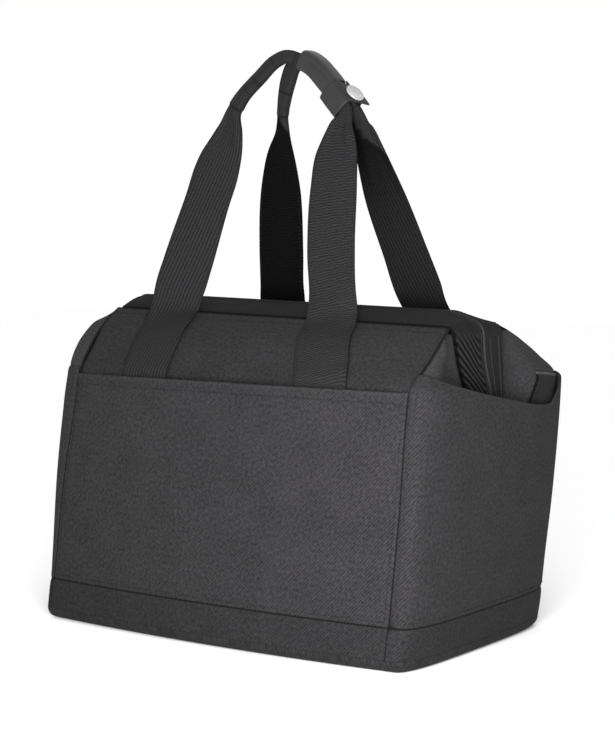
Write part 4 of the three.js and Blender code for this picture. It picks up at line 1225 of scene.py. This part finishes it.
def grip_wrap():
    """A sleeve: a squarish ring carried along the grip, with soft ripples, and a second ring inside it. A
    crease runs slanting along its front, deepest in the middle, with a low ridge beside it."""
    along, middle = flow_through(WRAP_PATH, WRAP_STEP)
    wide = np.cross(unit(np.gradient(middle, along, axis=0)), FORWARD)
    turn = 2 * np.pi * np.arange(WRAP_SIDES) / WRAP_SIDES
    a, b = squarish(turn, WRAP_CORNER)
    near_end = np.minimum(along, along[-1] - along)[:, None]
    swell = slow_waves(along[:, None], turn * WRAP_SPREAD, WRAP_WAVES)
    swell -= WRAP_END * np.exp(-near_end / WRAP_END_SOFT)
    beside = (turn - CREASE_TURN - CREASE_SLANT * (along / along[-1] - 0.5)[:, None]) / CREASE_SOFT
    crease = LIP_HEIGHT * hump(beside - LIP_AT, 1) - hump(beside, 1)
    swell += CREASE_DEPTH * smooth(near_end / CREASE_FADE) * crease

    def ring(grow):
        high, deep = (WRAP_HALF_HEIGHT + grow) * a, (WRAP_HALF_DEPTH + grow) * b
        return middle[:, None] + wide[:, None] * high[..., None] + FORWARD * deep[..., None]

    return cloth("grip_wrap", ring(WRAP_WALL + swell), ring(0 * swell), wrap_skin, closed=True)


add(handle_wrap=grip_wrap())

# %% The tab with its tongue
TAB_START, TAB_END = np.array([47.3, 0, 463.1]), np.array([62.7, 0, 446.1])
TAB_LENGTH = np.linalg.norm(TAB_END - TAB_START)
TAB_HALF_DEPTH, TAB_HALF_HEIGHT, TAB_WALL, TAB_DROP, TAB_CORNER = 10.6, 8.8, 1.8, 3, 0.55
TAB_FROM, TAB_TO, TAB_POINTS = np.radians(-24), np.radians(46 - 360), 90
TONGUE_START, TONGUE_LENGTH, TONGUE_TURN, TONGUE_THICK = np.array([10.4, 8]), 19, 0.47 * np.pi, 2.2
TONGUE_SKEW, TONGUE_TAPER, TONGUE_POINTS = 6.2, 4.5, 26
TAB_EDGE, EDGE_DIP, EDGE_SOFT, STITCH_AT, STITCH_SINK, STITCH_WIDE = 2, 0.25, 0.8, 2.6, 0.22, 0.7
tongue_along = np.array([np.cos(TONGUE_TURN), -np.sin(TONGUE_TURN)])
tongue_out = np.array([np.sin(TONGUE_TURN), np.cos(TONGUE_TURN)])
tab_down = unit(TAB_END - TAB_START)
tab_axes = np.array([np.cross(FORWARD, tab_down), FORWARD, tab_down])


def grip_tab():
    """A strap seen from its edge: from under the tongue, once round both grips, and out along the tongue.
    The line is drawn twice, once for each side of the strap, and carried down the grip. The tongue runs a
    little askew, further down the grip at its tip, and grows narrower."""
    a, b = squarish(np.linspace(TAB_FROM, TAB_TO, TAB_POINTS), TAB_CORNER)
    middle = np.stack([(TAB_HALF_HEIGHT + TAB_WALL / 2) * a, (TAB_HALF_DEPTH + TAB_WALL / 2) * b], 1)
    middle[:, 0] -= TAB_DROP * smooth(-a)
    lying = np.linspace(0, TONGUE_LENGTH, TONGUE_POINTS)[1:, None]
    tongue = TONGUE_START - tongue_out * TONGUE_THICK / 2 + tongue_along * lying
    course = np.concatenate([middle, tongue])
    course[1:-1] = (course[:-2] + 2 * course[1:-1] + course[2:]) / 4
    travel = np.gradient(course, axis=0)
    out = unit(np.stack([-travel[:, 1], travel[:, 0]], 1))
    out *= np.sign((out[-1] * tongue_out).sum())
    thick = np.repeat([TAB_WALL, TONGUE_THICK], [len(middle), len(tongue)])[:, None] / 2
    inner = TAB_LENGTH - TAB_EDGE
    down = spread_out((0, TAB_EDGE, 5), (TAB_EDGE, inner, 14), (inner, TAB_LENGTH, 5))
    edge = np.minimum(down, TAB_LENGTH - down)
    pillow = EDGE_DIP * np.exp(-edge / EDGE_SOFT) + STITCH_SINK * hump(edge - STITCH_AT, STITCH_WIDE)
    out_along = np.concatenate([0 * a, lying[:, 0] / TONGUE_LENGTH])[:, None, None]
    askew = out_along * (TONGUE_SKEW + TONGUE_TAPER * (1 - down / TAB_LENGTH))[:, None]

    def side(sign):
        flat = (course + sign * out * thick)[:, None] - sign * out[:, None] * pillow[:, None]
        return TAB_START + np.concatenate([flat, down[:, None] + askew], 2) @ tab_axes

    return cloth("grip_tab", side(1), side(-1), tab_skin)


add(snap_tab=grip_tab())

# %% The snap's cap
SNAP_RADIUS, SNAP_HEIGHT, SNAP_RIM, SNAP_ALONG, SNAP_DOWN = 8.6, 3.2, 0.4, 8.6, 17.4
RIM_GROOVE, RIM_GROOVE_AT, RIM_GROOVE_HALF, SNAP_RINGS, SNAP_SIDES = 0.45, 0.8 * SNAP_RADIUS, 0.6, 15, 40
RIM_RADII, RIM_HEIGHTS = [0.9 * SNAP_RADIUS, 0.98 * SNAP_RADIUS], [0.0, 0.25]


def snap_cap():
    """A turned profile: a rolled rim, a shallow groove inside it, and a low dome."""
    rise = np.linspace(0, np.pi / 2, SNAP_RINGS + 1)[:-1]
    radius = SNAP_RADIUS * np.cos(rise)
    height = SNAP_HEIGHT * (SNAP_RIM + (1 - SNAP_RIM) * np.sin(rise))
    height = height - RIM_GROOVE * hump(radius - RIM_GROOVE_AT, RIM_GROOVE_HALF)
    radius, height = np.concatenate([RIM_RADII, radius]), np.concatenate([RIM_HEIGHTS, height])
    turn = 2 * np.pi * np.arange(SNAP_SIDES) / SNAP_SIDES
    x, y = radius[:, None] * np.cos(turn), radius[:, None] * np.sin(turn)
    seat = TONGUE_START + tongue_along * SNAP_ALONG + tongue_out * SEAM_GAP
    flat = seat + tongue_along * x[..., None] + tongue_out * height[:, None, None]
    rings = TAB_START + np.concatenate([flat, (SNAP_DOWN + y)[..., None]], 2) @ tab_axes
    return stuffed("snap_button", rings, np.stack([x, y], -1), snap_metal)


add(snap_cap=snap_cap())

# %% [markdown]
# ## The corner patch
# A small patch of canvas strengthens the end wall at the back corner of the right pocket's mouth. It is
# painted darker than the wall, which is painted shade, and its free top edge is painted pale.

# %% Corner patch
PATCH_SHARES, PATCH_HEIGHTS, PATCH_LEAN, PATCH_FALL = (0.8, 0.965), (176, 222), 0.085, 4
PATCH_HIGH, PATCH_WIDE, PATCH_DIP, PATCH_SOFT, PATCH_SIDES = 46, 30, 0.5, 1.5, (2.2, 0.9)
PATCH_COLUMNS, PATCH_ROWS = 30, 34


def corner_patch():
    """A piece of the end wall's surface, raised off it, with edges that dip. It leans: lower rows start
    further forward, and its top edge falls a little towards the back."""
    share, rise = np.meshgrid(np.linspace(0, 1, PATCH_COLUMNS), np.linspace(0, 1, PATCH_ROWS))
    shares = PATCH_SHARES[0] + share * (PATCH_SHARES[1] - PATCH_SHARES[0]) - PATCH_LEAN * (1 - rise)
    z = PATCH_HEIGHTS[0] + rise * (PATCH_HEIGHTS[1] - PATCH_HEIGHTS[0]) + PATCH_FALL * rise * (0.5 - share)
    edge = np.minimum(np.minimum(rise, 1 - rise) * PATCH_HIGH, np.minimum(share, 1 - share) * PATCH_WIDE)
    dip = PATCH_DIP * np.exp(-edge / PATCH_SOFT)
    outer, inner = (gusset_point(1, shares, z, dip - raised) for raised in PATCH_SIDES)
    # The patch's darker canvas is painted shade.
    return cloth("patch", outer, inner, patch_canvas_painted_shade, free=("high",), plain=("low", "right"))


add(corner_patch=corner_patch())

# %% [markdown]
# ## Stitching
# Thread shows as short dashes along every fold and seam. Each row of stitches is a line on a piece's own
# surface, so it follows the relief, and each stitch is one spindle.

# %% Rows of stitches
THREAD_LENGTH, THREAD_PITCH, THREAD_HALF, THREAD_LIFT = 2.3, 3.3, 0.34, 0.1
LOW_ROW, TOP_ROW, SIDE_COLUMN = POCKET_LOW + 4.0, ROOF_TOP - 4.0, 0.98
ROW_END, ROUND_END, ROW_SAMPLES = 0.985, 0.01, 300
stitch_rows = []


def sew(line, normal):
    """Adds a row of stitches along a line, a little above it along its normal."""
    middles, out = even_places(line, normal, THREAD_PITCH)
    stitch_rows.append((middles + unit(out) * THREAD_LIFT, np.gradient(middles, axis=0), out))


inner_across = np.linspace(-ROW_END, ROW_END, ROW_SAMPLES)
inner_round = np.linspace(ROUND_END, 1 - ROUND_END, ROW_SAMPLES)
up_pocket, up_roof = np.linspace(POCKET_LOW + 3, MOUTH - 3, 200), np.linspace(MOUTH - 6, ROOF_TOP - 3, 120)
for face in (-1, 1):
    pocket = lambda u, z, face=face: face_point(face, u, z, face_inset(u, z))
    roof = lambda u, z, face=face: panel_point(face, u, z, panel_inset(u, z))
    sew(*on_surface(pocket, inner_across, MOUTH - MOUTH_STITCH))
    sew(*on_surface(pocket, inner_across, LOW_ROW))
    sew(*on_surface(roof, inner_across, TOP_ROW))
    for u in (-SIDE_COLUMN, SIDE_COLUMN):
        sew(*on_surface(pocket, u, up_pocket))
        sew(*on_surface(roof, u, up_roof))
for side in (-1, 1):
    pocket = lambda share, z, side=side: end_point(side, share, z, side_inset(side, share, z))
    sew(*on_surface(pocket, inner_round, LOW_ROW))
print("rows of stitches:", len(stitch_rows))

# %% Stitches on the strips and legs
STRIP_COLUMNS, LEG_COLUMNS, SEWN_WIDTH, THREAD_SEAT = (-0.93, -0.26, 0.26, 0.93), (-0.45, 0.45), 44, 0.36
strip_fine = strip_line(upright=60, bend=10, over=240)
for w in STRIP_COLUMNS:
    line = strip_point(strip_fine, np.full(1, w), hem_relief(strip_fine, np.full(1, w)))[:, 0]
    sew(line, placed(strip_fine[:, 2], 0.5 * np.sign(w) * w * w, strip_fine[:, 3]))
for rows in handle_courses.values():
    along, middle, wide, thin, width, thick = webbing_frame(rows)
    left = np.arange(len(along)) < len(along) // 2
    for leg in ((width > SEWN_WIDTH) & left, (width > SEWN_WIDTH) & ~left):
        for edge in LEG_COLUMNS:
            for face in (-1, 1):
                sideways = wide[leg] * edge * width[leg, None]
                through = thin[leg] * face * thick[leg, None] * THREAD_SEAT
                sew(middle[leg] + sideways + through, thin[leg] * face)
middles, forwards, outs = (np.concatenate(kind) for kind in zip(*stitch_rows))
stitch = spindle(THREAD_LENGTH, THREAD_HALF, THREAD_HALF)
stitching = repeated("stitching", stitch, middles, forwards, outs, thread)
print("stitches:", len(middles))

# %% [markdown]
# ## What stands for what
# Each sewn piece takes the place of its imported node, which stays behind it for collision.

# %% Replace the imported nodes
POCKETS = ["front_pocket", "back_pocket", "side_pocket_left", "side_pocket_right"]
WALLS = ["front_panel", "back_panel", "gusset_left", "gusset_right"]
HANDLES = ["handle_front", "handle_back"]
for node, piece in pieces.items():
    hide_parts(node)
print("replaced:", len(pieces), "of", len(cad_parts), "nodes")

# %% [markdown]
# ## Cloth and its flat size
# A sheet of cloth keeps the size it was cut to, however it hangs. The table lists what each sheet rests on
# and how it is held there, and each sheet's size is printed. The size is the greatest length across and along
# the finished sheet, measured on its own rows and columns, and the area is half of the shell's surface.

HELD = [
    ("stretched", ["base_panel"], ["base_band"]),
    ("stretched", ["base_band"], [*POCKETS, *WALLS]),
    ("stretched", ["front_panel"], ["hem_front"]),
    ("stretched", ["back_panel"], ["hem_back"]),
    ("laid", ["gusset_right"], ["corner_patch"]),
    ("folded", HANDLES, ["handle_wrap", "snap_tab"]),
    ("laid", ["floor"], ["base_panel"]),
]
cut_sizes["bottom"] = tuple(pieces["base_panel"].dimensions[:2])


def shell_area(piece):
    """Flat area of a thin shell in square metres: half of its whole surface."""
    areas = np.zeros(len(piece.data.polygons), np.float32)
    piece.data.polygons.foreach_get("area", areas)
    return float(areas.sum()) / 2


for held, rests_on, nodes in HELD:
    for piece in (pieces[node] for node in nodes):
        flat = cut_sizes[piece.name]
        min(shell_area(piece), flat[0] * flat[1])
        print(f"{piece.name}: {flat[0]:.3f} x {flat[1]:.3f} m, {shell_area(piece):.4f} square m")
